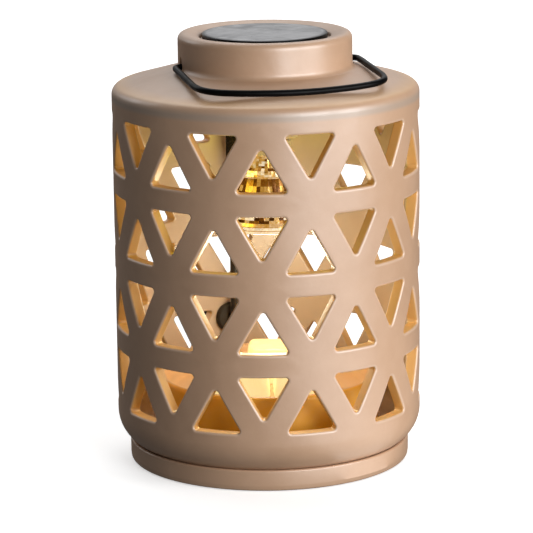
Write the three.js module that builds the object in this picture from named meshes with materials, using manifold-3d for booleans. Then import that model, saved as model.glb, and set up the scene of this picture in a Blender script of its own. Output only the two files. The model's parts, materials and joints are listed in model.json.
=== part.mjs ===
// Lantern fragrance warmer: a pierced ceramic lantern that stands on a saucer base over a wax dish.
// A twist-lock reflector bulb hangs from a black steel cap and warms the wax melts from above.
// Millimetres, +Z up. Front is -Y, the handle swings about +X, the lead leaves at the back, +Y.
// The origin is on the table, under the centre of the lantern.
import * as THREE from "three";
import { mergeVertices } from "three/addons/utils/BufferGeometryUtils.js";
import Module from "manifold-3d";

const wasm = await Module();
wasm.setup();

// ---------- driving dimensions ----------
const GAP = 0.3; // between touching pieces
const AROUND = 40; // facets round the lantern

// lantern body
const BODY_R = 82.5;
const WALL = 6.5;
const FOOT_Z = 8.6; // underside of the lantern, inside the saucer rim
const FOOT_HOLE_R = 63; // open bottom, passes over the dish
const FOOT_FILLET = 19; // rounded lower edge
const SHOULDER_Z = 201; // top of the upright wall
const SHOULDER_FILLET = 5;
const SHOULDER_SLOPE = 15.5; // degrees
const COLLAR_R = 46.7;
const COLLAR_FOOT_FILLET = 3.2;
const COLLAR_TOP_Z = 233.2;
const COLLAR_INNER_R = 40.2;
const CAP_SEAT_R = 35.0;
const CAP_SEAT_Z = 229.2;
const CAP_HOLE_R = 27;
const LIP_UNDER_Z = 223.5;

// triangle lattice of the wall: four bands, ten upward and ten downward pockets in each
const BANDS = 4;
const NODES_AROUND = 10;
const LINE0_Z = 197.45; // height of the top line of lattice nodes
const BAND_H = 42.64;
const STRUT_H = 12.44; // level struts
const APEX_OFF = 12.47; // from a node line to a pocket's point
const POCKET_HALF = 13.75; // half of a pocket's level side
const POCKET_CORNER = 2.4;
const CLOSED_POCKET = { band: 4, up: true, angle: 90 }; // solid web round the lead's hole

// saucer base
const BASE_R = 76;
const BASE_BOTTOM_Z = 0.8;
const BASE_FLOOR_Z = 8.3;
const BASE_RIM_Z = 11.5;
const FEET_R = 6;
const FEET_AT = 63.5;
const FEET_H = 2.0;

// wax dish
const DISH_R = 61.2;
const DISH_TOP_Z = 49;
const DISH_FLOOR_Z = 37.8;
const DISH_UNDER_Z = 32.3;

// wax melts: bottom width, top width, height; centre and turn on the dish floor
const WAX = { bottom: 29.6, top: 25.2, height: 21 };
const WAX_AT = [
  [-17.6, -9.7, -16.3],
  [12.6, -18.5, -15.0],
  [8.4, 14.2, -17.5],
];

// cap, clamp and bracket
const CAP_R = 34.1;
const CAP_T = 3.5;
const STUD_R = 3;
const STUD_HOLE_R = 3.35;
const STUD_BOTTOM_Z = 206.5;
const BAR = { l: 70, w: 16, t: 2 };
const NUT_R = 5.8;
const NUT_H = 5;
const BRACKET = { half: 17.6, t: 1.2, depth: 14, topT: 1.5, bottomZ: 180.5 };
const HOLDER = { w: 32, d: 24, z0: 176, z1: 194, recessR: 12.4, recessH: 4 };
const TERMINAL = { w: 18, d: 13, h: 12.2, y0: 9.5 };

// twist-lock reflector bulb
const BULB = { r: 25, frontZ: 127.4, rimH: 4, neckZ: 167.5, neckR: 12.5 };
const PIN_PITCH_R = 5;
const PIN_TURN = 35; // degrees to unlock

// handle
const WIRE_R = 1.72;
const PIN_Z = 216.5;
const BAIL_SHIFT = 1.5; // play of the handle in its two holes
const BAIL_HALF = 51.3;
const BAIL_REACH = 66;
const BAIL_DROP = 5.1; // fall from the pins to the front of the loop

// lead
const CORD_R = 2.8;
const SLEEVE_R = 4.3;
const CORD_Z = 59; // height of the hole in the back wall
const CORD_HOLE_R = 5.1;
const COIL = { x: 50, y: 118, rMid: 31, half: 8.4 };
const SWITCH = { x: 71.1, y: 173.6, l: 58, w: 24, split: 6, top: 13 };
const PLUG = { x: 0.4, y: 93.95, l: 34, w: 24, h: 15 };

const D2R = Math.PI / 180;

// ---------- colours ----------
const mat = (color, roughness, metalness = 0) =>
  new THREE.MeshStandardMaterial({ color, roughness, metalness });
const glaze = mat(0xb8957a, 0.55);
const blackSteel = mat(0x26262a, 0.32, 0.8);
const blackWire = mat(0x141416, 0.38, 0.6);
const zinc = mat(0xaeb0b2, 0.4, 0.9);
const porcelain = mat(0xe6dcc8, 0.4);
const glassMat = mat(0xe8eef0, 0.08, 0.1);
const mirrorMat = mat(0xd8d2c4, 0.12, 0.9);
const brass = mat(0xb08d4a, 0.35, 0.9);
const rubberMat = mat(0x1b1a19, 0.8);
const cordMat = mat(0x1c1714, 0.6);
const plasticMat = mat(0x1a1918, 0.45);
const sleeveMat = mat(0x2a2420, 0.85);
const wax = mat(0xf3e2b0, 0.5);

// ---------- helpers ----------
// a closed three.js geometry as a solid, faces turned outwards
function solid(geometry, matrix) {
  const g = geometry.clone();
  for (const name of Object.keys(g.attributes))
    if (name !== "position") g.deleteAttribute(name);
  if (matrix) g.applyMatrix4(matrix);
  const m = mergeVertices(g, 1e-4);
  const pos = m.attributes.position.array;
  const idx = m.index.array;
  const tri = [];
  let vol = 0;
  for (let i = 0; i < idx.length; i += 3) {
    const [a, b, c] = [idx[i], idx[i + 1], idx[i + 2]];
    if (a === b || b === c || a === c) continue;
    tri.push(a, b, c);
    const p = [a, b, c].map((k) => new THREE.Vector3().fromArray(pos, k * 3));
    vol += p[0].dot(p[1].clone().cross(p[2]));
  }
  if (vol < 0)
    for (let i = 0; i < tri.length; i += 3)
      [tri[i + 1], tri[i + 2]] = [tri[i + 2], tri[i + 1]];
  return new wasm.Manifold(
    new wasm.Mesh({
      numProp: 3,
      vertProperties: new Float32Array(pos),
      triVerts: new Uint32Array(tri),
    }),
  );
}

const group = new THREE.Group();
function piece(name, s, material, parent = group) {
  const m = s.getMesh();
  const p = new Float32Array((m.vertProperties.length / m.numProp) * 3);
  for (let i = 0; i * 3 < p.length; i++)
    for (let k = 0; k < 3; k++) p[i * 3 + k] = m.vertProperties[i * m.numProp + k];
  const g = new THREE.BufferGeometry();
  g.setAttribute("position", new THREE.BufferAttribute(p, 3));
  g.setIndex(new THREE.BufferAttribute(new Uint32Array(m.triVerts), 1));
  g.computeVertexNormals();
  const mesh = new THREE.Mesh(g, material);
  mesh.name = name;
  parent.add(mesh);
  return mesh;
}

const move = (x, y, z) => new THREE.Matrix4().makeTranslation(x, y, z);
const turnZ = (deg) => new THREE.Matrix4().makeRotationZ(deg * D2R);
const Y_TO_Z = new THREE.Matrix4().makeRotationX(Math.PI / 2);

// a profile of [radius, height] turned about Z
function lathe(profile, around, phase = 0) {
  const pts = profile.map(([r, z]) => new THREE.Vector2(Math.max(r, 0), z));
  const g = new THREE.LatheGeometry(pts, around);
  return solid(g, turnZ(phase).multiply(Y_TO_Z));
}
// points of an arc in the profile plane
function arc(cx, cz, r, a0, a1, n) {
  const out = [];
  for (let i = 0; i <= n; i++) {
    const a = (a0 + ((a1 - a0) * i) / n) * D2R;
    out.push([cx + r * Math.cos(a), cz + r * Math.sin(a)]);
  }
  return out;
}
const cyl = (r, z0, z1, x = 0, y = 0, around = 24, rTop = r) =>
  solid(
    new THREE.CylinderGeometry(rTop, r, z1 - z0, around),
    move(x, y, (z0 + z1) / 2).multiply(Y_TO_Z),
  );
const box = (x0, x1, y0, y1, z0, z1) =>
  solid(
    new THREE.BoxGeometry(x1 - x0, y1 - y0, z1 - z0),
    move((x0 + x1) / 2, (y0 + y1) / 2, (z0 + z1) / 2),
  );
// a cylinder along X or Y
const cylX = (r, x0, x1, y, z, around = 20) =>
  solid(
    new THREE.CylinderGeometry(r, r, x1 - x0, around),
    move((x0 + x1) / 2, y, z).multiply(new THREE.Matrix4().makeRotationZ(Math.PI / 2)),
  );
const cylY = (r, y0, y1, x, z, around = 20, r1 = r) =>
  solid(new THREE.CylinderGeometry(r1, r, y1 - y0, around), move(x, (y0 + y1) / 2, z));

// a plate of outline [x, y] from z0 to z1
function plate(outline, z0, z1, matrix) {
  const s = new THREE.Shape(outline.map(([x, y]) => new THREE.Vector2(x, y)));
  const g = new THREE.ExtrudeGeometry(s, { depth: z1 - z0, bevelEnabled: false });
  const m = move(0, 0, z0);
  return solid(g, matrix ? matrix.clone().multiply(m) : m);
}
function roundedRect(w, h, r, n = 3) {
  const out = [];
  const c = [
    [w / 2 - r, h / 2 - r, 0],
    [-w / 2 + r, h / 2 - r, 90],
    [-w / 2 + r, -h / 2 + r, 180],
    [w / 2 - r, -h / 2 + r, 270],
  ];
  for (const [x, y, a] of c) out.push(...arc(x, y, r, a, a + 90, n));
  return out;
}
// a round tube along a smooth path
function tube(points, r, sides, steps, start = 30) {
  const path = new THREE.CatmullRomCurve3(
    points.map((p) => new THREE.Vector3(...p)),
    false,
    "centripetal",
  );
  const ring = [];
  for (let i = 0; i < sides; i++) {
    const a = (start + (360 * i) / sides) * D2R;
    ring.push(new THREE.Vector2(r * Math.cos(a), r * Math.sin(a)));
  }
  const g = new THREE.ExtrudeGeometry(new THREE.Shape(ring), {
    steps,
    extrudePath: path,
    bevelEnabled: false,
  });
  return solid(g);
}
const hexNut = (z0, z1) => cyl(NUT_R, z0, z1, 0, 0, 6).subtract(cyl(STUD_HOLE_R, z0 - 1, z1 + 1, 0, 0, 20));

// ---------- lantern body ----------
const slope = Math.tan(SHOULDER_SLOPE * D2R);
const filletC = [BODY_R - FOOT_FILLET, FOOT_Z + FOOT_FILLET];
const shoulderEnd = arc(BODY_R - SHOULDER_FILLET, SHOULDER_Z, SHOULDER_FILLET, 0, 90 - SHOULDER_SLOPE, 3);
const [edgeR, edgeZ] = shoulderEnd[shoulderEnd.length - 1];
const shoulderZ = (r) => edgeZ + (edgeR - r) * slope;
const footR = COLLAR_R + COLLAR_FOOT_FILLET;
const collarFootZ = shoulderZ(footR);
const innerDrop = WALL / Math.cos(SHOULDER_SLOPE * D2R);
const innerShoulderZ = (r) => shoulderZ(r) - innerDrop;
const bodyProfile = [
  [FOOT_HOLE_R, FOOT_Z],
  ...arc(filletC[0], filletC[1], FOOT_FILLET, -84, 0, 5),
  ...shoulderEnd,
  [footR, collarFootZ],
  ...arc(footR, collarFootZ + COLLAR_FOOT_FILLET, COLLAR_FOOT_FILLET, -110, -180, 2),
  ...arc(COLLAR_R - 3.2, COLLAR_TOP_Z - 3.2, 3.2, 0, 90, 3),
  [41.5, COLLAR_TOP_Z - 0.1],
  [38.2, COLLAR_TOP_Z - 0.9],
  [CAP_SEAT_R + 0.6, COLLAR_TOP_Z - 1.8],
  [CAP_SEAT_R, COLLAR_TOP_Z - 2.5],
  [CAP_SEAT_R, CAP_SEAT_Z],
  [CAP_HOLE_R, CAP_SEAT_Z],
  [CAP_HOLE_R, LIP_UNDER_Z],
  [COLLAR_INNER_R, LIP_UNDER_Z],
  [COLLAR_INNER_R, innerShoulderZ(COLLAR_INNER_R)],
  [BODY_R - WALL - 3, innerShoulderZ(BODY_R - WALL - 3)],
  [BODY_R - WALL, SHOULDER_Z - 4],
  [BODY_R - WALL, filletC[1]],
  ...arc(filletC[0], filletC[1], FOOT_FILLET - WALL, -24, -90, 2),
  [FOOT_HOLE_R, FOOT_Z + WALL],
  [FOOT_HOLE_R, FOOT_Z],
];
let body = lathe(bodyProfile, AROUND, 0);

// one pocket as a prism that points along +Y, its outline in X and Z
function pocketOutline(up, zUpper, zLower) {
  const w = POCKET_HALF;
  const p = up
    ? [
        [-w, zLower + STRUT_H / 2],
        [w, zLower + STRUT_H / 2],
        [0, zUpper - APEX_OFF],
      ]
    : [
        [-w, zUpper - STRUT_H / 2],
        [0, zLower + APEX_OFF],
        [w, zUpper - STRUT_H / 2],
      ];
  // each corner is cut by a short chord in place of its round
  const out = [];
  for (let i = 0; i < 3; i++) {
    const a = new THREE.Vector2(...p[(i + 2) % 3]);
    const b = new THREE.Vector2(...p[i]);
    const c = new THREE.Vector2(...p[(i + 1) % 3]);
    out.push(b.clone().add(a.sub(b).setLength(POCKET_CORNER)).toArray());
    out.push(b.clone().add(c.sub(b).setLength(POCKET_CORNER)).toArray());
  }
  return out;
}
const pockets = [];
for (let band = 1; band <= BANDS; band++) {
  const zUpper = LINE0_Z - (band - 1) * BAND_H;
  const zLower = LINE0_Z - band * BAND_H;
  for (let j = 0; j < NODES_AROUND * 2; j++) {
    const angle = 18 * j;
    const upperNode = (band - 1) % 2 === 0 ? j % 2 === 0 : j % 2 === 1;
    const up = upperNode;
    if (band === CLOSED_POCKET.band && up === CLOSED_POCKET.up && angle === CLOSED_POCKET.angle) continue;
    // the prism runs from inside the wall outwards along the pocket's own radius
    const m = turnZ(angle - 90)
      .multiply(move(0, BODY_R + 8, 0))
      .multiply(new THREE.Matrix4().makeRotationX(Math.PI / 2));
    pockets.push(plate(pocketOutline(up, zUpper, zLower), 0, WALL + 16, m));
  }
}
for (const p of pockets) body = body.subtract(p);
// teardrop holes for the handle's pins, and the lead's hole at the back
const tear = [
  ...arc(0, 0, 2.35, 150, 390, 8),
  ...arc(0, 3.4, 1.3, 30, 150, 3),
];
body = body.subtract(
  plate(tear, -60, 60, move(0, 0, PIN_Z).multiply(new THREE.Matrix4().makeBasis(
    new THREE.Vector3(0, 1, 0), new THREE.Vector3(0, 0, 1), new THREE.Vector3(1, 0, 0)))),
);
body = body.subtract(cylY(CORD_HOLE_R, 66, 90, 0, CORD_Z, 16));
piece("lantern_body", body, glaze);

// ---------- saucer base and feet ----------
const saucerArc = (z) => filletC[0] + Math.sqrt((FOOT_FILLET + 0.6) ** 2 - (filletC[1] - z) ** 2);
let base = lathe(
  [
    [0, BASE_BOTTOM_Z + 1.2],
    [52, BASE_BOTTOM_Z + 1.2],
    [53.5, BASE_BOTTOM_Z],
    [73.4, BASE_BOTTOM_Z],
    [75.3, BASE_BOTTOM_Z + 0.8],
    [BASE_R, BASE_BOTTOM_Z + 2.6],
    [BASE_R, BASE_RIM_Z - 1.4],
    [BASE_R - 0.5, BASE_RIM_Z - 0.4],
    [BASE_R - 1.3, BASE_RIM_Z],
    [saucerArc(BASE_RIM_Z - 0.5) , BASE_RIM_Z - 0.5],
    [saucerArc(9.6), 9.6],
    [saucerArc(BASE_FLOOR_Z), BASE_FLOOR_Z],
    [0, BASE_FLOOR_Z],
  ],
  AROUND,
);
for (let i = 0; i < 4; i++) {
  const a = (45 + 90 * i) * D2R;
  base = base.subtract(cyl(FEET_R + GAP, -1, FEET_H + GAP, FEET_AT * Math.cos(a), FEET_AT * Math.sin(a), 20));
  piece("foot_pad_" + (i + 1), cyl(FEET_R, 0, FEET_H, FEET_AT * Math.cos(a), FEET_AT * Math.sin(a), 20), rubberMat);
}
piece("base_plate", base, glaze);

// ---------- dish and wax melts ----------
piece(
  "melting_dish",
  lathe(
    [
      [0, DISH_UNDER_Z],
      [49, DISH_UNDER_Z],
      [53.6, DISH_UNDER_Z - 4],
      [53, BASE_FLOOR_Z + GAP],
      [57.2, BASE_FLOOR_Z + GAP],
      [59, BASE_FLOOR_Z + 1.8],
      [60.4, DISH_UNDER_Z - 2],
      [DISH_R, DISH_TOP_Z - 2.6],
      ...arc(DISH_R - 2.5, DISH_TOP_Z - 2.5, 2.5, 20, 160, 4),
      [DISH_R - 5.4, DISH_TOP_Z - 6],
      [54.2, DISH_FLOOR_Z + 1.6],
      [50.5, DISH_FLOOR_Z],
      [0, DISH_FLOOR_Z],
    ],
    40,
  ),
  glaze,
);
WAX_AT.forEach(([x, y, deg], i) => {
  const g = new THREE.CylinderGeometry(WAX.top / Math.SQRT2, WAX.bottom / Math.SQRT2, WAX.height, 4);
  piece(
    "wax_melt_" + (i + 1),
    solid(
      g,
      move(x, y, DISH_FLOOR_Z + GAP + WAX.height / 2)
        .multiply(turnZ(deg))
        .multiply(Y_TO_Z)
        .multiply(new THREE.Matrix4().makeRotationY(Math.PI / 4)),
    ),
    wax,
  );
});

// ---------- cap and clamp ----------
const capZ0 = CAP_SEAT_Z + GAP;
const capZ1 = capZ0 + CAP_T;
piece(
  "cap_plate",
  lathe(
    [
      [0, capZ0],
      [CAP_R - 0.6, capZ0],
      [CAP_R, capZ0 + 0.7],
      ...arc(CAP_R - 1.1, capZ1 - 1.1, 1.1, 0, 90, 3),
      [CAP_R - 4, capZ1 + 0.05],
      [0, capZ1 + 0.25],
    ],
    AROUND,
  ),
  blackSteel,
);
piece("cap_stud", cyl(STUD_R, STUD_BOTTOM_Z, capZ0 - GAP, 0, 0, 16), zinc);
const barZ1 = LIP_UNDER_Z - GAP;
piece(
  "clamp_bar",
  plate(roundedRect(BAR.l, BAR.w, 4), barZ1 - BAR.t, barZ1).subtract(cyl(STUD_HOLE_R, barZ1 - 9, barZ1 + 1, 0, 0, 20)),
  zinc,
);
const nutZ1 = barZ1 - BAR.t - GAP;
piece("clamp_nut", hexNut(nutZ1 - NUT_H, nutZ1), zinc);
const brTop = nutZ1 - NUT_H - GAP;

// inverted U strap with a rear tab for the terminal block
const bh = BRACKET.half;
const tabY = TERMINAL.y0 + TERMINAL.d;
let bracket = box(-bh, bh, -BRACKET.depth / 2, BRACKET.depth / 2, brTop - BRACKET.topT, brTop)
  .add(box(-8, 8, BRACKET.depth / 2 - 1, tabY, brTop - BRACKET.topT, brTop))
  .add(box(-bh, -bh + BRACKET.t, -BRACKET.depth / 2, BRACKET.depth / 2, BRACKET.bottomZ, brTop - 0.5))
  .add(box(bh - BRACKET.t, bh, -BRACKET.depth / 2, BRACKET.depth / 2, BRACKET.bottomZ, brTop - 0.5))
  .subtract(cyl(STUD_HOLE_R, brTop - 5, brTop + 5, 0, 0, 20))
  .subtract(cylX(1.8, -30, 30, 0, 185));
piece("holder_bracket", bracket, zinc);
const brNut1 = brTop - BRACKET.topT - GAP;
piece("bracket_nut", hexNut(brNut1 - 4.4, brNut1), zinc);

// ---------- porcelain lampholder ----------
function slot(at, z0, z1, reach) {
  // a curved slot about the axis that lets a pin turn
  const r0 = PIN_PITCH_R - 2.9;
  const r1 = PIN_PITCH_R + 2.9;
  const a0 = at - 36 - reach;
  const a1 = at + 36;
  return plate([...arc(0, 0, r1, a0, a1, 8), ...arc(0, 0, r0, a1, a0, 5)], z0, z1);
}
let holder = plate(roundedRect(HOLDER.w, HOLDER.d, 5), HOLDER.z0, HOLDER.z1)
  .subtract(cyl(HOLDER.recessR, HOLDER.z0 - 1, HOLDER.z0 + HOLDER.recessH, 0, 0, 28))
  .subtract(slot(0, HOLDER.z0 + 2, 188.2, PIN_TURN))
  .subtract(slot(180, HOLDER.z0 + 2, 188.2, PIN_TURN));
for (const s of [-1, 1]) {
  holder = holder
    .subtract(box(Math.min(s * 2.6, s * 8.4), Math.max(s * 2.6, s * 8.4), -3.2, 3.2, 187, HOLDER.z1 + 1))
    .subtract(cylX(1.8, Math.min(s * 12.4, s * 20), Math.max(s * 12.4, s * 20), 0, 185));
}
piece("lampholder", holder, porcelain);
for (const [s, side] of [
  [-1, "left"],
  [1, "right"],
]) {
  piece("contact_" + side, box(Math.min(s * 3, s * 8), Math.max(s * 3, s * 8), -2.8, 2.8, 188.6, 193.6), brass);
  const head = cylX(2.7, Math.min(s * (bh + GAP), s * (bh + 1.8)), Math.max(s * (bh + GAP), s * (bh + 1.8)), 0, 185, 16);
  const shank = cylX(1.45, Math.min(s * 12.8, s * (bh + 1)), Math.max(s * 12.8, s * (bh + 1)), 0, 185, 12);
  piece("holder_screw_" + side, head.add(shank), zinc);
  // insulated lead from the contact up to the terminal block
  piece(
    "lead_" + side,
    tube(
      [
        [s * 5.5, 0.4, 193.9],
        [s * 5.5, 0.6, 197.5],
        [s * 5.5, 3.4, 203.2],
        [s * 5, 9.2, 205],
      ],
      1.15,
      8,
      7,
    ),
    mat(s < 0 ? 0xd9d4c8 : 0x2a2826, 0.7),
  );
}

// ---------- terminal block ----------
const tbZ1 = brTop - BRACKET.topT - GAP;
const tbZ0 = tbZ1 - TERMINAL.h;
piece("terminal_block", box(-TERMINAL.w / 2, TERMINAL.w / 2, TERMINAL.y0, tabY, tbZ0, tbZ1), porcelain);
for (const [s, side] of [
  [-1, "left"],
  [1, "right"],
])
  piece("terminal_screw_" + side, cyl(1.9, tbZ0 - GAP - 1.6, tbZ0 - GAP, s * 4.6, 15.5, 12), brass);

// ---------- bulb ----------
const f = BULB;
piece(
  "bulb_reflector",
  lathe(
    [
      [f.r, f.frontZ],
      [f.r, f.frontZ + f.rimH],
      [23.6, f.frontZ + f.rimH + 1.6],
      [22.3, 139],
      [19.3, 148],
      [16, 156],
      [13.4, 162.5],
      [f.neckR, f.neckZ],
      [6.2, f.neckZ],
      [6.2, 165],
      [11.4, 162],
      [14.2, 155.2],
      [17.4, 147.6],
      [20.4, 138.6],
      [22.0, f.frontZ + 4.4],
      [23.4, f.frontZ + 3.4],
      [23.4, f.frontZ],
      [f.r, f.frontZ],
    ],
    24,
  ),
  mirrorMat,
);
piece("bulb_front_glass", cyl(23.0, f.frontZ + 0.5, f.frontZ + 3.0, 0, 0, 24), glassMat);
piece(
  "bulb_capsule",
  lathe(
    [
      [0, 143],
      [2.6, 143.8],
      [4.2, 146.5],
      [4.2, 156],
      [3.2, 159.5],
      [4.6, 160.5],
      [4.6, 167],
      [0, 167],
    ],
    16,
  ),
  glassMat,
);
const bulbBaseZ1 = HOLDER.z0 + HOLDER.recessH - GAP;
piece(
  "bulb_base",
  lathe(
    [
      [0, f.neckZ + GAP],
      [f.neckR, f.neckZ + GAP],
      [13.4, 170.5],
      [13.4, HOLDER.z0 - 1.2],
      [11.2, HOLDER.z0 - 0.4],
      [11.2, bulbBaseZ1 - 0.6],
      [10.6, bulbBaseZ1],
      [0, bulbBaseZ1],
    ],
    28,
  ),
  porcelain,
);
for (const [s, side] of [
  [-1, "left"],
  [1, "right"],
])
  piece(
    "bulb_pin_" + side,
    cyl(1.5, bulbBaseZ1 + GAP, 185.4, s * PIN_PITCH_R, 0, 12).add(cyl(2.45, 185.0, 187.6, s * PIN_PITCH_R, 0, 16)),
    zinc,
  );

// ---------- wire handle, folded forwards onto the shoulder ----------
const fall = (y) => PIN_Z + (y / BAIL_REACH) * BAIL_DROP;
const half = [
  [39, 0],
  [45, 0],
  [BAIL_HALF - 4, 0],
  [BAIL_HALF - 0.9, -1.4],
  [BAIL_HALF, -4.6],
  [BAIL_HALF + 0.5, -18],
  [BAIL_HALF + 0.9, -34],
  [BAIL_HALF + 0.9, -44],
  [BAIL_HALF - 1.4, -51.5],
  [BAIL_HALF - 7.2, -57],
  [34, -60.9],
  [20, -64],
  [7, -65.8],
];
const loop = [
  ...half.map(([x, y]) => [x + BAIL_SHIFT, y, fall(y)]),
  ...half.slice().reverse().map(([x, y]) => [-x + BAIL_SHIFT, y, fall(y)]),
];
piece("bail_handle", tube(loop, WIRE_R, 8, 60, 22.5), blackWire);

// ---------- lead inside the lantern ----------
const innerY = 65.5;
piece(
  "inner_cord",
  tube(
    [
      [0, 71.8, CORD_Z],
      [0, 70.7, CORD_Z + 0.05],
      [0, 67.9, CORD_Z + 2.0],
      [0, 66.1, CORD_Z + 6.2],
      [0, innerY, CORD_Z + 13],
      [0, innerY, CORD_Z + 30],
      [0, innerY, 120],
      [0, innerY, 147.9],
    ],
    CORD_R,
    10,
    14,
  ),
  cordMat,
);
piece(
  "heat_sleeve",
  tube(
    [
      [0, innerY, 148.2],
      [0, innerY, 168],
      [0, innerY, 182],
      [0, 60, 192],
      [0, 53, 199.5],
      [0, 42, 202.8],
      [0, 33, 204.6],
      [0, tabY + GAP, 205.4],
    ],
    SLEEVE_R,
    10,
    12,
  ),
  sleeveMat,
);

// ---------- bushing in the back wall ----------
const yLathe = new THREE.Matrix4(); // profile height runs along +Y
function latheY(profile, around, x, z) {
  const g = new THREE.LatheGeometry(profile.map(([r, y]) => new THREE.Vector2(r, y)), around);
  return solid(g, move(x, 0, z).multiply(yLathe));
}
piece(
  "cord_bushing",
  latheY(
    [
      [0, 72.1],
      [8.0, 72.1],
      [9.0, 73.0],
      [9.0, 75.1],
      [4.75, 75.1],
      [4.75, 88],
      [5.4, 89],
      [5.2, 92],
      [3.9, 110],
      [0, 110],
    ],
    20,
    0,
    CORD_Z,
  ),
  rubberMat,
);
piece(
  "bushing_nut",
  cylY(8.2, 82.9, 86.2, 0, CORD_Z, 6).subtract(cylY(5.1, 80, 90, 0, CORD_Z, 20)),
  plasticMat,
);

// ---------- lead outside, inline switch, coil and plug ----------
const swX0 = SWITCH.x - SWITCH.l / 2;
const swX1 = SWITCH.x + SWITCH.l / 2;
export const CORD_A = [
  [0, 110.3, 59],
  [0, 116.41, 58.29],
  [0, 121.87, 56.19],
  [0, 126.66, 52.84],
  [0, 130.5, 48.42],
  [0, 133.15, 43.21],
  [0, 134.47, 37.51],
  [0, 135.82, 24.65],
  [0.27, 136.81, 19.69],
  [1.06, 138.67, 15.04],
  [2.34, 141.32, 10.92],
  [4.06, 144.65, 7.51],
  [6.13, 148.51, 4.96],
  [8.46, 152.72, 3.38],
  [10.96, 157.09, 2.85],
  [12.84, 159.99, 2.85],
  [15.01, 162.67, 2.85],
  [17.46, 165.12, 2.85],
  [20.14, 167.29, 2.85],
  [23.04, 169.17, 2.92],
  [26.12, 170.74, 3.32],
  [29.34, 171.98, 4.08],
  [32.68, 172.87, 5.08],
  [36.09, 173.41, 5.78],
  [39.54, 173.6, 6.12],
  [41.65, 173.6, 6.15],
];
piece("cord_run", tube(CORD_A, CORD_R, 10, 26), cordMat);

const swHalf = SWITCH.w / 2;
const at = (x, y) => move(x, y, 0);
const shell = (z0, z1) => plate(roundedRect(SWITCH.l, SWITCH.w, 10, 4), z0, z1, at(SWITCH.x, SWITCH.y));
piece(
  "switch_base",
  shell(0, SWITCH.split)
    .subtract(box(SWITCH.x - 9.6, SWITCH.x + 9.6, SWITCH.y - 6.4, SWITCH.y + 6.4, 2.4, 7))
    .subtract(cyl(1.5, 1.6, 7, SWITCH.x - 20, SWITCH.y, 12))
    .subtract(cyl(1.5, 1.6, 7, SWITCH.x + 20, SWITCH.y, 12)),
  plasticMat,
);
let cover = plate(roundedRect(SWITCH.l, SWITCH.w, 10, 4), SWITCH.split + GAP, SWITCH.top - 2, at(SWITCH.x, SWITCH.y))
  .add(plate(roundedRect(SWITCH.l - 4, SWITCH.w - 4, 8.4, 4), SWITCH.top - 2.01, SWITCH.top, at(SWITCH.x, SWITCH.y)))
  .subtract(box(SWITCH.x - 8, SWITCH.x + 8, SWITCH.y - 4.8, SWITCH.y + 4.8, 0, 20))
  .subtract(box(SWITCH.x - 2, SWITCH.x + 2, SWITCH.y - 6.4, SWITCH.y + 6.4, 6, 10.6))
  .subtract(cyl(1.7, 3, 20, SWITCH.x - 20, SWITCH.y, 12))
  .subtract(cyl(1.7, 3, 20, SWITCH.x + 20, SWITCH.y, 12))
  .subtract(cyl(3.2, SWITCH.top - 2.2, 20, SWITCH.x - 20, SWITCH.y, 16))
  .subtract(cyl(3.2, SWITCH.top - 2.2, 20, SWITCH.x + 20, SWITCH.y, 16));
piece("switch_cover", cover, plasticMat);
for (const [s, side] of [
  [-1, "left"],
  [1, "right"],
])
  piece(
    "switch_screw_" + side,
    cyl(1.2, 2.2, SWITCH.top - 1.5, SWITCH.x + 20 * s, SWITCH.y, 12).add(
      cyl(2.8, SWITCH.top - 1.9, SWITCH.top - 0.4, SWITCH.x + 20 * s, SWITCH.y, 16),
    ),
    zinc,
  );
// rocker with its two trunnions, tipped to the ON side
const ROCKER_Z = 8.6;
const rockerOutline = [
  [-7.2, 2.6],
  [-5.6, 5.0],
  [-0.3, 3.9],
  [0.3, 3.9],
  [5.6, 5.0],
  [7.2, 2.6],
  [4.4, -3.6],
  [-4.4, -3.6],
];
const rockerPose = move(SWITCH.x, SWITCH.y, ROCKER_Z)
  .multiply(new THREE.Matrix4().makeRotationY(8 * D2R))
  .multiply(new THREE.Matrix4().makeRotationX(Math.PI / 2));
piece(
  "switch_rocker",
  plate(rockerOutline, -4.3, 4.3, rockerPose).add(cylY(1.3, SWITCH.y - 5.9, SWITCH.y + 5.9, SWITCH.x, ROCKER_Z, 12)),
  mat(0x2b2a28, 0.4),
);

// lead from the switch, spiralling in to the coil, clockwise seen from above
export const CORD_B = [
  [100.55, 173.6, 6.15],
  [101.6, 173.6, 6.15],
  [106.8, 173.19, 5.74],
  [111.86, 171.96, 4.5],
  [116.67, 169.96, 3.26],
  [121.11, 167.22, 2.85],
  [125.03, 163.61, 2.85],
  [128.06, 159.23, 2.85],
  [130.04, 154.28, 2.85],
  [130.89, 149.02, 2.85],
  [130.56, 143.71, 2.85],
  [129.06, 138.59, 2.85],
  [126.47, 133.94, 2.85],
  [122.92, 129.97, 2.85],
  [109.53, 118, 2.85],
  [96.15, 106.03, 2.85],
  [93.99, 103.92, 2.85],
  [92.02, 101.62, 2.85],
];
piece("cord_lead", tube(CORD_B, CORD_R, 10, 18), cordMat);
piece(
  "cord_coil",
  lathe(
    [
      [COIL.rMid - COIL.half, 3],
      [COIL.rMid - COIL.half + 3, 0.02],
      [COIL.rMid + COIL.half - 3, 0.02],
      [COIL.rMid + COIL.half, 3],
      [COIL.rMid + COIL.half, 14],
      [COIL.rMid + COIL.half - 3, 17],
      [COIL.rMid - COIL.half + 3, 17],
      [COIL.rMid - COIL.half, 14],
      [COIL.rMid - COIL.half, 3],
    ],
    32,
  ).translate([COIL.x, COIL.y, 0]),
  cordMat,
);
export const CORD_C = [
  [14.2, 93.68, 5.05],
  [12.57, 93.85, 5.62],
  [10.05, 93.95, 6.38],
  [5.74, 93.95, 7.22],
  [1.43, 93.95, 7.5],
  [0.85, 93.95, 7.5],
];
piece("cord_tail", tube(CORD_C, CORD_R, 10, 6), cordMat);

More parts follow.
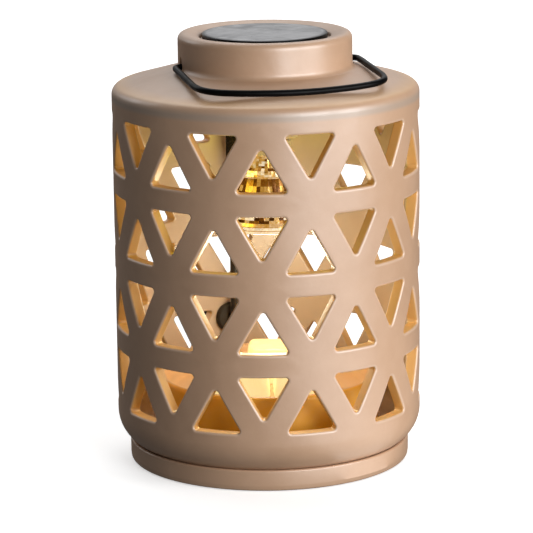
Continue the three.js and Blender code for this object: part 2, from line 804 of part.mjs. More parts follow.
const px = PLUG.x - 14; // front of the strain relief, back of the body
let plug = solid(
  new THREE.CylinderGeometry(6.2, 3.9, 14.5, 16),
  move(PLUG.x - 7.25, PLUG.y, PLUG.h / 2).multiply(new THREE.Matrix4().makeRotationZ(Math.PI / 2)),
).add(
  plate(roundedRect(PLUG.l - 12, PLUG.h, 5, 3), -PLUG.w / 2, PLUG.w / 2,
    move(px - (PLUG.l - 12) / 2, PLUG.y, PLUG.h / 2).multiply(new THREE.Matrix4().makeRotationX(Math.PI / 2))),
);
const face = px - (PLUG.l - 12);
plug = plug
  .subtract(box(face - 1, face + 5, PLUG.y - 6.35 - 1.1, PLUG.y - 6.35 + 1.1, PLUG.h / 2 - 3.6, PLUG.h / 2 + 3.6))
  .subtract(box(face - 1, face + 5, PLUG.y + 6.35 - 1.1, PLUG.y + 6.35 + 1.1, PLUG.h / 2 - 3.6, PLUG.h / 2 + 3.6));
piece("plug_body", plug, plasticMat);
for (const [s, side] of [
  [-1, "left"],
  [1, "right"],
])
  piece(
    "plug_blade_" + side,
    box(face - 16.5, face + 4.6, PLUG.y + s * 6.35 - 0.75, PLUG.y + s * 6.35 + 0.75, PLUG.h / 2 - 3.25, PLUG.h / 2 + 3.25),
    brass,
  );

export default group;
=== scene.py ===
import json
import math

import bmesh
import bpy
import numpy as np
from mathutils import Matrix, Vector

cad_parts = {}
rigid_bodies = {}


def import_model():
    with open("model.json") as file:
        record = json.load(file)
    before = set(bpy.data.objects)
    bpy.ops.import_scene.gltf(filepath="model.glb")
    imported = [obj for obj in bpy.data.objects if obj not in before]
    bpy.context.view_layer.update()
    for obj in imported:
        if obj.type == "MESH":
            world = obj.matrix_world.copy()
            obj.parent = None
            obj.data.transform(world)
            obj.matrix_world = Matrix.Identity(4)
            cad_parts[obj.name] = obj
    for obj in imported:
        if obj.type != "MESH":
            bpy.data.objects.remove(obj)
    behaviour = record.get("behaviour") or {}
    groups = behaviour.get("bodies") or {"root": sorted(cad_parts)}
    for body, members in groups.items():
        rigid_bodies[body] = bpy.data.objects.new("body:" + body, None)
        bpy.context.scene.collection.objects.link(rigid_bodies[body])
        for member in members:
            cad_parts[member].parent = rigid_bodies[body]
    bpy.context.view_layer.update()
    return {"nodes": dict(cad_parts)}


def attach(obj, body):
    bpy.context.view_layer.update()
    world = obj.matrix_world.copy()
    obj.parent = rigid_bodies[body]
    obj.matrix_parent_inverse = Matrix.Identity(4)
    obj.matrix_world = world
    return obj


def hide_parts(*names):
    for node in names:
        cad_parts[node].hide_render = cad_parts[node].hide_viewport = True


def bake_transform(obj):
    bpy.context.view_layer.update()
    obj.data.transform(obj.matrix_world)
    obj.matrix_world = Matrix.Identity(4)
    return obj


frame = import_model()

MM = 0.001
D2R = math.pi / 180
scene = bpy.context.scene
scene.view_settings.view_transform = "Standard"
scene.view_settings.look = "None"
for o in [o for o in scene.objects if o.name in ("Cube", "Light", "Camera")]:
    bpy.data.objects.remove(o)

# ------------------------------------------------------------------ camera
AZ = 16.155 * D2R
EL = 12.82 * D2R
ROLL = -0.677 * D2R
FOCAL_PX = 3083.23
DIST = 1.67359
c_right = Vector((math.cos(AZ), -math.sin(AZ), 0))
c_back = Vector((-math.sin(AZ) * math.cos(EL), -math.cos(AZ) * math.cos(EL), math.sin(EL)))
c_up = c_back.cross(c_right)
target = c_right * -0.000544 + Vector((0, 0, 0.10446))
cx = c_right * math.cos(ROLL) + c_up * math.sin(ROLL)
cy = c_right * -math.sin(ROLL) + c_up * math.cos(ROLL)
cam_data = bpy.data.cameras.new("camera")
cam_data.sensor_fit = "HORIZONTAL"
cam_data.sensor_width = 36
cam_data.lens = FOCAL_PX * 36 / 533
cam_data.clip_start = 0.05
cam_data.clip_end = 60
camera = bpy.data.objects.new("camera", cam_data)
scene.collection.objects.link(camera)
pose = Matrix((cx, cy, c_back)).transposed().to_4x4()
pose.translation = target + c_back * DIST
camera.matrix_world = pose
scene.camera = camera


# ------------------------------------------------------------------ mesh helpers
def make(name, verts, faces, body, mat, replaces=(), sharp=38, scale=MM, attrs=None, flat=False):
    """A closed mesh from points in millimetres, riding on a body."""
    me = bpy.data.meshes.new(name)
    me.from_pydata([tuple(v) for v in verts], [], faces)
    if attrs:
        for key, values in attrs.items():
            a = me.attributes.new(key, "FLOAT", "POINT")
            a.data.foreach_set("value", np.asarray(values, np.float32))
    bm = bmesh.new()
    bm.from_mesh(me)
    bmesh.ops.remove_doubles(bm, verts=bm.verts, dist=1e-5)
    bmesh.ops.dissolve_degenerate(bm, edges=bm.edges, dist=1e-6)
    bmesh.ops.recalc_face_normals(bm, faces=bm.faces)
    if bm.calc_volume(signed=True) < 0:
        bmesh.ops.reverse_faces(bm, faces=bm.faces)
    bmesh.ops.scale(bm, vec=(scale,) * 3, verts=bm.verts)
    bm.to_mesh(me)
    bm.free()
    return finish_mesh(name, me, body, mat, replaces, sharp, flat)


def finish_mesh(name, me, body, mat, replaces=(), sharp=38, flat=False):
    if flat:
        me.shade_flat()
    else:
        me.shade_smooth()
        if sharp is not None:
            me.set_sharp_from_angle(angle=sharp * D2R)
    ob = bpy.data.objects.new(name, me)
    scene.collection.objects.link(ob)
    for m in mat if isinstance(mat, (list, tuple)) else [mat]:
        me.materials.append(m)
    if body:
        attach(ob, body)
    if replaces:
        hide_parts(*replaces)
    return ob


def rings_mesh(rings, close=False, cap=True):
    """Quads between rings of the same count. close joins the last ring to the first."""
    n = len(rings[0])
    verts = [p for r in rings for p in r]
    faces = []
    m = len(rings)
    for i in range(m if close else m - 1):
        a, b = i * n, ((i + 1) % m) * n
        for k in range(n):
            faces.append((a + k, a + (k + 1) % n, b + (k + 1) % n, b + k))
    if not close and cap:
        for start, flip in ((0, True), ((m - 1) * n, False)):
            c = sum((Vector(verts[start + k]) for k in range(n)), Vector()) / n
            verts.append(tuple(c))
            ci = len(verts) - 1
            for k in range(n):
                f = (start + k, start + (k + 1) % n, ci)
                faces.append(f[::-1] if flip else f)
    return verts, faces


def rounded(points, seg=6):
    """A polyline with its corners rounded: each point is (x, y) or (x, y, radius)."""
    out = []
    n = len(points)
    for i, p in enumerate(points):
        r = p[2] if len(p) > 2 else 0
        if r <= 0 or i in (0, n - 1):
            out.append((p[0], p[1]))
            continue
        a = Vector(points[i - 1][:2])
        b = Vector(p[:2])
        c = Vector(points[i + 1][:2])
        out.extend(corner(a, b, c, r, seg))
    return out


def corner(a, b, c, r, seg):
    u = (a - b)
    v = (c - b)
    lu, lv = u.length, v.length
    u.normalize()
    v.normalize()
    ang = u.angle(v)
    if ang > math.pi - 0.02:
        return [tuple(b)]
    t = min(r / math.tan(ang / 2), lu * 0.49, lv * 0.49)
    r = t * math.tan(ang / 2)
    centre = b + (u + v).normalized() * (r / math.sin(ang / 2))
    p0, p1 = b + u * t - centre, b + v * t - centre
    total = p0.angle(p1)
    n = max(2, int(round(seg * total / (math.pi / 2))))
    sign = 1 if p0.x * p1.y - p0.y * p1.x > 0 else -1
    res = []
    for k in range(n + 1):
        w = sign * total * k / n
        res.append((centre.x + p0.x * math.cos(w) - p0.y * math.sin(w), centre.y + p0.x * math.sin(w) + p0.y * math.cos(w)))
    return res


def rounded_loop(points, seg=6):
    out = []
    n = len(points)
    for i, p in enumerate(points):
        r = p[2] if len(p) > 2 else 0
        if r <= 0:
            out.append((p[0], p[1]))
            continue
        out.extend(corner(Vector(points[i - 1][:2]), Vector(p[:2]), Vector(points[(i + 1) % n][:2]), r, seg))
    return out


def lathe(profile, n=96, centre=(0, 0, 0), axis="z", phase=0.0, wobble=None):
    """Verts and faces of a closed turned solid. The profile starts and ends on the axis, or closes on itself."""
    on_axis = profile[0][0] < 1e-6 and profile[-1][0] < 1e-6
    pts = profile[1:-1] if on_axis else profile
    rings = []
    for r, z in pts:
        ring = []
        for k in range(n):
            a = 2 * math.pi * k / n + phase
            rr = r if wobble is None else r + wobble(a, r, z)
            ring.append((rr * math.cos(a), rr * math.sin(a), z))
        rings.append(ring)
    if on_axis:
        verts, faces = rings_mesh(rings, cap=False)
        for ring_i, (r, z), flip in ((0, profile[0], True), (len(pts) - 1, profile[-1], False)):
            verts.append((0, 0, z))
            ci = len(verts) - 1
            for k in range(n):
                f = (ring_i * n + k, ring_i * n + (k + 1) % n, ci)
                faces.append(f[::-1] if flip else f)
    else:
        verts, faces = rings_mesh(rings, close=True)
    return [place(v, centre, axis) for v in verts], faces


def place(v, centre, axis):
    x, y, z = v
    if axis == "x":
        x, y, z = z, x, y
    elif axis == "y":
        x, y, z = y, z, x
    return (x + centre[0], y + centre[1], z + centre[2])


def catmull(points, step):
    """Points of a centripetal Catmull-Rom curve, about a step apart."""
    P = [Vector(p) for p in points]
    P = [2 * P[0] - P[1]] + P + [2 * P[-1] - P[-2]]
    out = []
    for i in range(1, len(P) - 2):
        p0, p1, p2, p3 = P[i - 1 : i + 3]
        d0, d1, d2 = [max((b - a).length, 1e-9) ** 0.5 for a, b in ((p0, p1), (p1, p2), (p2, p3))]
        t1 = ((p1 - p0) / d0 - (p2 - p0) / (d0 + d1) + (p2 - p1) / d1) * d1
        t2 = ((p2 - p1) / d1 - (p3 - p1) / (d1 + d2) + (p3 - p2) / d2) * d1
        n = max(2, int(math.ceil((p2 - p1).length / step)))
        for k in range(n):
            t = k / n
            out.append(p1 + t1 * t + (-3 * p1 + 3 * p2 - 2 * t1 - t2) * t * t + (2 * p1 - 2 * p2 + t1 + t2) * t ** 3)
    out.append(P[-2])
    return out


def resample(pts, step):
    d = [0.0]
    for a, b in zip(pts, pts[1:]):
        d.append(d[-1] + (b - a).length)
    n = max(2, int(round(d[-1] / step)))
    arr = np.array([list(p) for p in pts])
    s = np.linspace(0, d[-1], n + 1)
    xyz = np.stack([np.interp(s, d, arr[:, k]) for k in range(3)], 1)
    return [Vector(p) for p in xyz], d[-1]


def tube(pts, radius, sides=16, ends="round", attrs=False):
    """A closed tube along points; radius is a number or a function of the length so far (mm)."""
    n = len(pts)
    tang = [(pts[min(i + 1, n - 1)] - pts[max(i - 1, 0)]).normalized() for i in range(n)]
    ref = Vector((0, 0, 1)) if abs(tang[0].z) < 0.9 else Vector((1, 0, 0))
    u = (ref - tang[0] * ref.dot(tang[0])).normalized()
    frames = []
    for i, t in enumerate(tang):
        u = (u - t * u.dot(t)).normalized()
        frames.append((u, t.cross(u)))
    s = [0.0]
    for a, b in zip(pts, pts[1:]):
        s.append(s[-1] + (b - a).length)
    rad = radius if callable(radius) else (lambda _s: radius)
    rings, rs = [], []

    def ring(i, scale, shift):
        uu, vv = frames[i]
        c = pts[i] + tang[i] * shift
        r = rad(s[i]) * scale
        return [tuple(c + uu * (r * math.cos(2 * math.pi * k / sides)) + vv * (r * math.sin(2 * math.pi * k / sides))) for k in range(sides)]
    if ends == "round":
        e = min(0.35 * rad(0), 1.2)
        for w in (75, 45, 20):
            rings.append(ring(0, (rad(0) - e + e * math.cos(w * D2R)) / rad(0), e - e * math.sin(w * D2R) - 0))
            rs.append(s[0])
        first = 1
        while first < n - 1 and s[first] < e * 1.05:
            first += 1
        last = n - 2
        while last > first and s[-1] - s[last] < e * 1.05:
            last -= 1
        for i in range(first, last + 1):
            rings.append(ring(i, 1, 0))
            rs.append(s[i])
        for w in (20, 45, 75):
            rings.append(ring(n - 1, (rad(s[-1]) - e + e * math.cos(w * D2R)) / rad(s[-1]), -(e - e * math.sin(w * D2R))))
            rs.append(s[-1])
    else:
        for i in range(n):
            rings.append(ring(i, 1, 0))
            rs.append(s[i])
    verts, faces = rings_mesh(rings)
    if attrs:
        length = [r for r in rs for _ in range(sides)] + [rs[0], rs[-1]]
        ca = [math.cos(2 * math.pi * k / sides) for _ in rs for k in range(sides)] + [0, 0]
        sa = [math.sin(2 * math.pi * k / sides) for _ in rs for k in range(sides)] + [0, 0]
        return verts, faces, {"along": length, "round_c": ca, "round_s": sa}
    return verts, faces


def loft_box(outline, levels, centre=(0, 0, 0), axis="z"):
    """A solid whose outline (x, y) is inset by level: levels are (height, inset)."""
    pts = [Vector(p) for p in outline]
    n = len(pts)
    normals = []
    for i in range(n):
        a, b, c = pts[i - 1], pts[i], pts[(i + 1) % n]
        e1, e2 = (b - a), (c - b)
        if e1.length < 1e-9:
            e1 = e2
        if e2.length < 1e-9:
            e2 = e1
        n1 = Vector((e1.y, -e1.x)).normalized()
        n2 = Vector((e2.y, -e2.x)).normalized()
        m = (n1 + n2).normalized()
        normals.append(m / max(0.5, m.dot(n1)))
    rings = []
    for h, inset in levels:
        rings.append([place((p.x - q.x * inset, p.y - q.y * inset, h), centre, axis) for p, q in zip(pts, normals)])
    return rings_mesh(rings)


def edge_levels(z0, z1, r, seg=4):
    """Levels of a prism with both rims rounded by r."""
    out = []
    for k in range(seg + 1):
        a = math.pi / 2 * k / seg
        out.append((z0 + r - r * math.cos(a), r - r * math.sin(a)))
    for k in range(seg + 1):
        a = math.pi / 2 * k / seg
        out.append((z1 - r + r * math.sin(a), r - r * math.cos(a)))
    return out


def rect(w, h, r, seg=6, cx=0.0, cy=0.0):
    pts = [(-w / 2, -h / 2, r), (w / 2, -h / 2, r), (w / 2, h / 2, r), (-w / 2, h / 2, r)]
    return [(x + cx, y + cy) for x, y in rounded_loop(pts, seg)]


def boolean(target_ob, cutters, op="DIFFERENCE"):
    """Applies exact booleans to the mesh and removes the cutters."""
    for c in cutters:
        m = target_ob.modifiers.new("cut", "BOOLEAN")
        m.operation = op
        m.solver = "EXACT"
        m.object = c
    bpy.context.view_layer.update()
    dg = bpy.context.evaluated_depsgraph_get()
    me = bpy.data.meshes.new_from_object(target_ob.evaluated_get(dg), preserve_all_data_layers=True, depsgraph=dg)
    target_ob.modifiers.clear()
    old = target_ob.data
    target_ob.data = me
    me.name = old.name
    for c in cutters:
        bpy.data.objects.remove(c)
    return target_ob


def raw(name, verts, faces):
    """A helper solid that isn't part of the object, used as a cutter."""
    me = bpy.data.meshes.new(name)
    me.from_pydata([tuple(Vector(v) * MM) for v in verts], [], faces)
    bm = bmesh.new()
    bm.from_mesh(me)
    bmesh.ops.remove_doubles(bm, verts=bm.verts, dist=1e-8)
    bmesh.ops.recalc_face_normals(bm, faces=bm.faces)
    if bm.calc_volume(signed=True) < 0:
        bmesh.ops.reverse_faces(bm, faces=bm.faces)
    bm.to_mesh(me)
    bm.free()
    ob = bpy.data.objects.new(name, me)
    scene.collection.objects.link(ob)
    return ob


def merge(*parts):
    verts, faces = [], []
    for v, f in parts:
        base = len(verts)
        verts.extend(v)
        faces.extend(tuple(i + base for i in face) for face in f)
    return verts, faces


# ------------------------------------------------------------------ material helpers
class Graph:
    def __init__(self, name):
        self.mat = bpy.data.materials.new(name)
        self.mat.use_nodes = True
        self.nt = self.mat.node_tree
        self.bsdf = self.nt.nodes["Principled BSDF"]
        self.out = self.nt.nodes["Material Output"]
        self.coord = self.nt.nodes.new("ShaderNodeTexCoord").outputs["Object"]

    def node(self, kind, **props):
        n = self.nt.nodes.new(kind)
        for k, v in props.items():
            setattr(n, k, v)
        return n

    def put(self, socket, value):
        if isinstance(value, bpy.types.NodeSocket):
            self.nt.links.new(value, socket)
        elif isinstance(value, (tuple, list)) and len(value) == 3 and socket.type == "RGBA":
            socket.default_value = (*value, 1)
        else:
            socket.default_value = value

    def set(self, **kw):
        names = dict(base="Base Color", rough="Roughness", metal="Metallic", spec="Specular IOR Level", coat="Coat Weight",
                     coat_rough="Coat Roughness", ior="IOR", trans="Transmission Weight", sheen="Sheen Weight",
                     emit="Emission Color", power="Emission Strength", normal="Normal", sss="Subsurface Weight",
                     sss_radius="Subsurface Radius", sss_scale="Subsurface Scale", alpha="Alpha", aniso="Anisotropic")
        for k, v in kw.items():
            self.put(self.bsdf.inputs[names[k]], v)
        return self.mat

    def mapping(self, scale=(1, 1, 1), rot=(0, 0, 0), vector=None):
        n = self.node("ShaderNodeMapping")
        self.put(n.inputs["Vector"], vector or self.coord)
        n.inputs["Scale"].default_value = scale
        n.inputs["Rotation"].default_value = rot
        return n.outputs["Vector"]

    def noise(self, scale, detail=3.0, rough=0.5, distortion=0.0, vector=None):
        n = self.node("ShaderNodeTexNoise")
        self.put(n.inputs["Vector"], vector or self.coord)
        n.inputs["Scale"].default_value = scale
        n.inputs["Detail"].default_value = detail
        n.inputs["Roughness"].default_value = rough
        n.inputs["Distortion"].default_value = distortion
        return n.outputs["Fac"]

    def voronoi(self, scale, feature="F1", vector=None, out="Distance", rand=1.0):
        n = self.node("ShaderNodeTexVoronoi", feature=feature)
        self.put(n.inputs["Vector"], vector or self.coord)
        n.inputs["Scale"].default_value = scale
        n.inputs["Randomness"].default_value = rand
        return n.outputs[out]

    def wave(self, scale, vector=None, distortion=0.0, direction="X", kind="BANDS", detail=2.0):
        n = self.node("ShaderNodeTexWave", wave_type=kind)
        if kind == "BANDS":
            n.bands_direction = direction
        else:
            n.rings_direction = direction
        self.put(n.inputs["Vector"], vector or self.coord)
        n.inputs["Scale"].default_value = scale
        n.inputs["Distortion"].default_value = distortion
        n.inputs["Detail"].default_value = detail
        return n.outputs["Fac"]

    def ramp(self, fac, stops, interp="LINEAR"):
        n = self.node("ShaderNodeValToRGB")
        self.put(n.inputs["Fac"], fac)
        r = n.color_ramp
        r.interpolation = interp
        while len(r.elements) < len(stops):
            r.elements.new(0.5)
        for e, (p, c) in zip(r.elements, stops):
            e.position = p
            e.color = (*c, 1) if len(c) == 3 else c
        return n.outputs["Color"]

    def range(self, fac, a, b, from_a=0.0, from_b=1.0):
        n = self.node("ShaderNodeMapRange")
        self.put(n.inputs["Value"], fac)
        n.inputs["From Min"].default_value = from_a
        n.inputs["From Max"].default_value = from_b
        n.inputs["To Min"].default_value = a
        n.inputs["To Max"].default_value = b
        return n.outputs["Result"]

    def math(self, op, a, b=0.0, clamp=False):
        n = self.node("ShaderNodeMath", operation=op)
        n.use_clamp = clamp
        self.put(n.inputs[0], a)
        self.put(n.inputs[1], b)
        return n.outputs[0]

    def mix(self, fac, a, b, blend="MIX"):
        n = self.node("ShaderNodeMix", data_type="RGBA", blend_type=blend)
        self.put(n.inputs[0], fac)
        self.put(n.inputs[6], a)
        self.put(n.inputs[7], b)
        return n.outputs[2]

    def attr(self, name):
        n = self.node("ShaderNodeAttribute")
        n.attribute_name = name
        return n.outputs["Fac"]

    def bump(self, height, distance, strength=1.0, normal=None):
        n = self.node("ShaderNodeBump")
        n.inputs["Strength"].default_value = strength
        n.inputs["Distance"].default_value = distance
        self.put(n.inputs["Height"], height)
        if normal is not None:
            self.put(n.inputs["Normal"], normal)
        return n.outputs["Normal"]


def lin(r, g, b):
    """sRGB 0-255 to linear."""
    return tuple((c / 255 / 12.92) if c / 255 <= 0.04045 else ((c / 255 + 0.055) / 1.055) ** 2.4 for c in (r, g, b))


def glaze_material(name, tone=(197, 159, 128), dark=(188, 150, 119), inner=(182, 158, 138), spread=1.0, pocket_lamplight=False):
    g = Graph(name)
    cloud = g.noise(14, 5, 0.55, 0.6)
    fine = g.noise(150, 4, 0.6)
    speck = g.voronoi(420, rand=1.0)
    col = g.mix(g.range(cloud, 0, 1, 0.3, 0.7), lin(*dark), lin(*tone))
    col = g.mix(g.math("MULTIPLY", g.range(fine, 0, 1, 0.42, 0.75), 0.14), col, lin(216, 182, 152))
    col = g.mix(g.math("MULTIPLY", g.range(speck, 1, 0, 0.02, 0.11), 0.22), col, lin(150, 108, 78))
    # painted highlight: lighter along the pocket rims, where their rounding would catch the light
    col = g.mix(g.math("MULTIPLY", g.attr("rim_light_and_shade"), 0.4), col, lin(232, 203, 178))
    col = g.mix(g.attr("inside"), col, g.mix(g.range(cloud, 0, 1, 0.3, 0.7), lin(*[int(c * 0.94) for c in inner]), lin(*inner)))
    rough = g.range(g.noise(60, 4, 0.6), 0.38, 0.5, 0.3, 0.7)
    waves = g.bump(g.noise(26, 2, 0.4), 0.0011 * spread, 0.35)
    peel = g.bump(g.noise(420, 3, 0.5), 0.00006, 0.7, waves)
    pits = g.bump(g.range(speck, 0, 1, 0.0, 0.12), 0.00005, 0.6, peel)
    g.bsdf.inputs["IOR"].default_value = 1.75
    if pocket_lamplight:  # the pocket walls, where the bulb shines through: painted lamplight, a golden colour and a faint orange glow on the walls round the pockets
        tc = g.node("ShaderNodeTexCoord")
        level = g.node("ShaderNodeVectorMath", operation="MULTIPLY")
        g.put(level.inputs[0], tc.outputs["Object"])
        level.inputs[1].default_value = (1, 1, 0)
        unit = g.node("ShaderNodeVectorMath", operation="NORMALIZE")
        g.put(unit.inputs[0], level.outputs["Vector"])
        dot = g.node("ShaderNodeVectorMath", operation="DOT_PRODUCT")
        g.put(dot.inputs[0], unit.outputs["Vector"])
        g.put(dot.inputs[1], tc.outputs["Normal"])
        sep = g.node("ShaderNodeSeparateXYZ")
        g.put(sep.inputs[0], tc.outputs["Object"])
        lamp_glow_mask = g.range(g.math("ABSOLUTE", dot.outputs["Value"]), 1, 0, 0.25, 0.75)
        lamp_glow_mask = g.math("MULTIPLY", lamp_glow_mask, g.range(sep.outputs["Z"], 0, 1, 0.027, 0.031))
        lamp_glow_mask = g.math("MULTIPLY", lamp_glow_mask, g.range(sep.outputs["Z"], 1, 0, 0.204, 0.208))
        # painted lamplight: the walls round the pockets turn golden and glow faintly orange, standing in for the bulb's
        # light falling on them
        col = g.mix(g.math("MULTIPLY", lamp_glow_mask, 0.72), col, lin(216, 164, 82))
        return g.set(base=col, rough=rough, spec=0.85, normal=pits, emit=g.mix(lamp_glow_mask, (0, 0, 0), lin(232, 170, 40)), power=0.055)
    return g.set(base=col, rough=rough, spec=0.85, normal=pits)


M_GLAZE = glaze_material("glaze", pocket_lamplight=True)
M_GLAZE_BASE = glaze_material("glaze_base")
# the dish: its outside is painted amber and given a faint orange glow, painted lamplight from the bulb; the inside
# keeps the plain glaze tone
M_DISH_PAINTED_LAMPLIGHT = glaze_material("dish_painted_lamplight", (232, 172, 66), (222, 160, 54), (198, 160, 126))
M_DISH_PAINTED_LAMPLIGHT.node_tree.nodes["Principled BSDF"].inputs["Emission Color"].default_value = (1.0, 0.42, 0.01, 1)
M_DISH_PAINTED_LAMPLIGHT.node_tree.nodes["Principled BSDF"].inputs["Emission Strength"].default_value = 0.045
M_DISH_PAINTED_LAMPLIGHT.node_tree.nodes["Principled BSDF"].inputs["IOR"].default_value = 1.35


def metal_material(name, color, rough=(0.25, 0.4), brushed=0.0, tarnish=None, bump=0.00002, metal=1.0):
    g = Graph(name)
    cloud = g.noise(90, 4, 0.6)
    scratch = g.noise(260, 4, 0.6, 0, g.mapping((1, 1, 14)))
    base = g.mix(g.range(cloud, 0, 1, 0.35, 0.7), lin(*[int(c * 0.86) for c in color]), lin(*color))
    if tarnish:
        base = g.mix(g.math("MULTIPLY", g.range(g.noise(40, 5, 0.6), 0, 1, 0.5, 0.75), 0.5), base, lin(*tarnish))
    r = g.range(scratch, rough[0], rough[1], 0.3, 0.7)
    n = g.bump(scratch, bump, 0.6)
    return g.set(base=base, metal=metal, rough=r, normal=n)


M_ZINC = metal_material("zinc_plate", (186, 190, 192), (0.26, 0.42), tarnish=(150, 150, 140))
M_BRASS = metal_material("brass", (206, 168, 92), (0.22, 0.36), tarnish=(140, 104, 52))
M_BLADE = metal_material("nickel_brass", (214, 196, 150), (0.2, 0.32))


def black_steel():
    g = Graph("black_steel")
    dents = g.noise(55, 3, 0.5, 0.4)
    mottle = g.noise(42, 3, 0.5, 1.2)
    brushed = g.noise(120, 5, 0.6, 0.2, g.mapping((1, 7, 1), (0, 0, 0.5)))
    col = g.mix(g.range(brushed, 0, 1, 0.3, 0.7), lin(120, 120, 123), lin(186, 186, 188))
    col = g.mix(g.math("MULTIPLY", g.range(mottle, 0, 1, 0.44, 0.66), 0.8), col, lin(92, 92, 95))
    # painted shade: the disc's rim is painted near black, in place of the bevel's reflection
    col = g.mix(g.attr("rim_light_and_shade"), col, lin(26, 26, 27))
    r = g.range(g.noise(80, 5, 0.65), 0.26, 0.44, 0.3, 0.75)
    n = g.bump(dents, 0.0006, 0.5)
    n = g.bump(brushed, 0.00003, 0.6, n)
    n = g.bump(g.noise(900, 3, 0.5), 0.00001, 0.6, n)
    return g.set(base=col, metal=1.0, rough=r, normal=n)


M_CAP = black_steel()


def black_wire():
    g = Graph("black_wire")
    spots = g.noise(500, 4, 0.6)
    col = g.mix(g.range(spots, 0, 1, 0.4, 0.7), lin(2, 2, 3), lin(5, 5, 6))
    r = g.range(g.noise(140, 4, 0.6), 0.3, 0.45, 0.3, 0.7)
    n = g.bump(g.noise(900, 3, 0.5), 0.00003, 0.8)
    return g.set(base=col, metal=0.0, rough=r, normal=n, spec=0.1)


M_WIRE = black_wire()


def porcelain(name, a=(236, 226, 204), b=(220, 206, 178), rough=(0.22, 0.38)):
    g = Graph(name)
    col = g.mix(g.range(g.noise(60, 4, 0.6), 0, 1, 0.35, 0.7), lin(*b), lin(*a))
    col = g.mix(g.math("MULTIPLY", g.range(g.voronoi(500), 1, 0, 0.02, 0.1), 0.3), col, lin(170, 150, 120))
    n = g.bump(g.noise(300, 3, 0.5), 0.00005, 0.6)
    return g.set(base=col, rough=g.range(g.noise(90, 3), *rough, 0.3, 0.7), normal=n, spec=0.5)


M_PORCELAIN = porcelain("porcelain")
M_CERAMIC_CAP = porcelain("bulb_ceramic", (228, 218, 196), (206, 192, 164), (0.4, 0.6))


def plastic(name, color, rough=(0.38, 0.52), grain=0.00006, scale=1400):
    g = Graph(name)
    lo = tuple(max(0, int(c * 0.8)) for c in color)
    col = g.mix(g.range(g.noise(200, 4, 0.6), 0, 1, 0.35, 0.7), lin(*lo), lin(*color))
    n = g.bump(g.voronoi(scale), grain, 0.8)
    n = g.bump(g.noise(40, 2), 0.0002, 0.3, n)
    return g.set(base=col, rough=g.range(g.noise(120, 3), *rough, 0.3, 0.7), normal=n, spec=0.45)


M_PLASTIC = plastic("black_plastic", (30, 29, 28))
M_ROCKER = plastic("rocker_plastic", (44, 42, 40), (0.3, 0.42), 0.00003)
M_BUSHING = plastic("bushing_rubber", (40, 30, 22), (0.5, 0.65), 0.00008, 900)
M_PAD = plastic("pad_rubber", (34, 33, 32), (0.7, 0.9), 0.00015, 700)
M_LEAD_WHITE = plastic("lead_white", (214, 206, 190), (0.5, 0.65), 0.00003)
M_LEAD_BLACK = plastic("lead_black", (34, 32, 30), (0.5, 0.65), 0.00003)


def jacket(name, color):
    g = Graph(name)
    col = g.mix(g.range(g.noise(260, 4, 0.6), 0, 1, 0.35, 0.7), lin(*[int(c * 0.75) for c in color]), lin(*color))
    n = g.bump(g.noise(700, 4, 0.6), 0.00005, 0.7)
    n = g.bump(g.noise(70, 2), 0.0002, 0.35, n)
    return g.set(base=col, rough=g.range(g.noise(150, 3), 0.36, 0.52, 0.3, 0.7), normal=n, spec=0.5)


M_CORD = jacket("cord_jacket", (26, 19, 14))


def braid():
    g = Graph("heat_sleeve")
    s = g.attr("along")
    c, sn = g.attr("round_c"), g.attr("round_s")
    turn = g.node("ShaderNodeMath", operation="ARCTAN2")
    g.put(turn.inputs[0], sn)
    g.put(turn.inputs[1], c)
    a = g.math("MULTIPLY", turn.outputs[0], 12.0)
    k = g.math("MULTIPLY", s, 3.4)
    w1 = g.math("SINE", g.math("ADD", k, a))
    w2 = g.math("SINE", g.math("SUBTRACT", k, a))
    w = g.range(g.math("MAXIMUM", w1, w2), 0, 1, -0.6, 1)
    col = g.mix(w, lin(5, 2, 1), lin(24, 11, 6))
    n = g.bump(w, 0.0004, 0.9)
    n = g.bump(g.noise(1500, 3), 0.00006, 0.6, n)
    return g.set(base=col, rough=0.8, normal=n, spec=0.3)


M_SLEEVE = braid()


def wax_material():
    g = Graph("wax")
    cloud = g.noise(70, 4, 0.55, 0.4)
    col = g.mix(g.range(cloud, 0, 1, 0.3, 0.7), lin(196, 158, 84), lin(206, 170, 98))
    n = g.bump(g.noise(120, 3, 0.5), 0.0006, 0.5)
    n = g.bump(g.noise(700, 3, 0.5), 0.00006, 0.6, n)
    # painted light: the wax glows as if lit by the bulb's beam falling on it, set as emission
    glow = g.mix(g.range(cloud, 0, 1, 0.3, 0.7), lin(214, 208, 146), lin(220, 214, 160))
    return g.set(base=col, rough=g.range(g.noise(200, 3), 0.28, 0.45, 0.3, 0.7), normal=n, sss=0.55, sss_scale=0.006,
                 sss_radius=(1.0, 0.75, 0.35), emit=glow, power=0.92)


M_WAX = wax_material()


def glass_material(name, tint=(250, 250, 246), rough=0.03, ior=1.47):
    g = Graph(name)
    n = g.bump(g.noise(160, 3, 0.5), 0.0001, 0.35)
    col = g.mix(g.range(g.noise(90, 3), 0, 1, 0.35, 0.7), lin(*[int(c * 0.97) for c in tint]), lin(*tint))
    return g.set(base=col, rough=rough, trans=1.0, ior=ior, normal=n)


M_GLASS = glass_material("capsule_glass")


def front_glass():
    g = Graph("front_glass")
    cells = g.voronoi(330, feature="SMOOTH_F1", rand=0.35)
    n = g.bump(cells, 0.0006, 0.8)
    ring = g.range(g.noise(90, 3), 0, 1, 0.35, 0.7)
    col = g.mix(ring, lin(255, 240, 205), lin(255, 247, 224))
    glow = g.mix(g.range(cells, 0, 1, 0.0, 0.6), lin(255, 232, 178), lin(255, 206, 120))
    return g.set(base=col, rough=0.12, trans=0.7, ior=1.47, normal=n, emit=glow, power=2.2)


M_FRONT = front_glass()


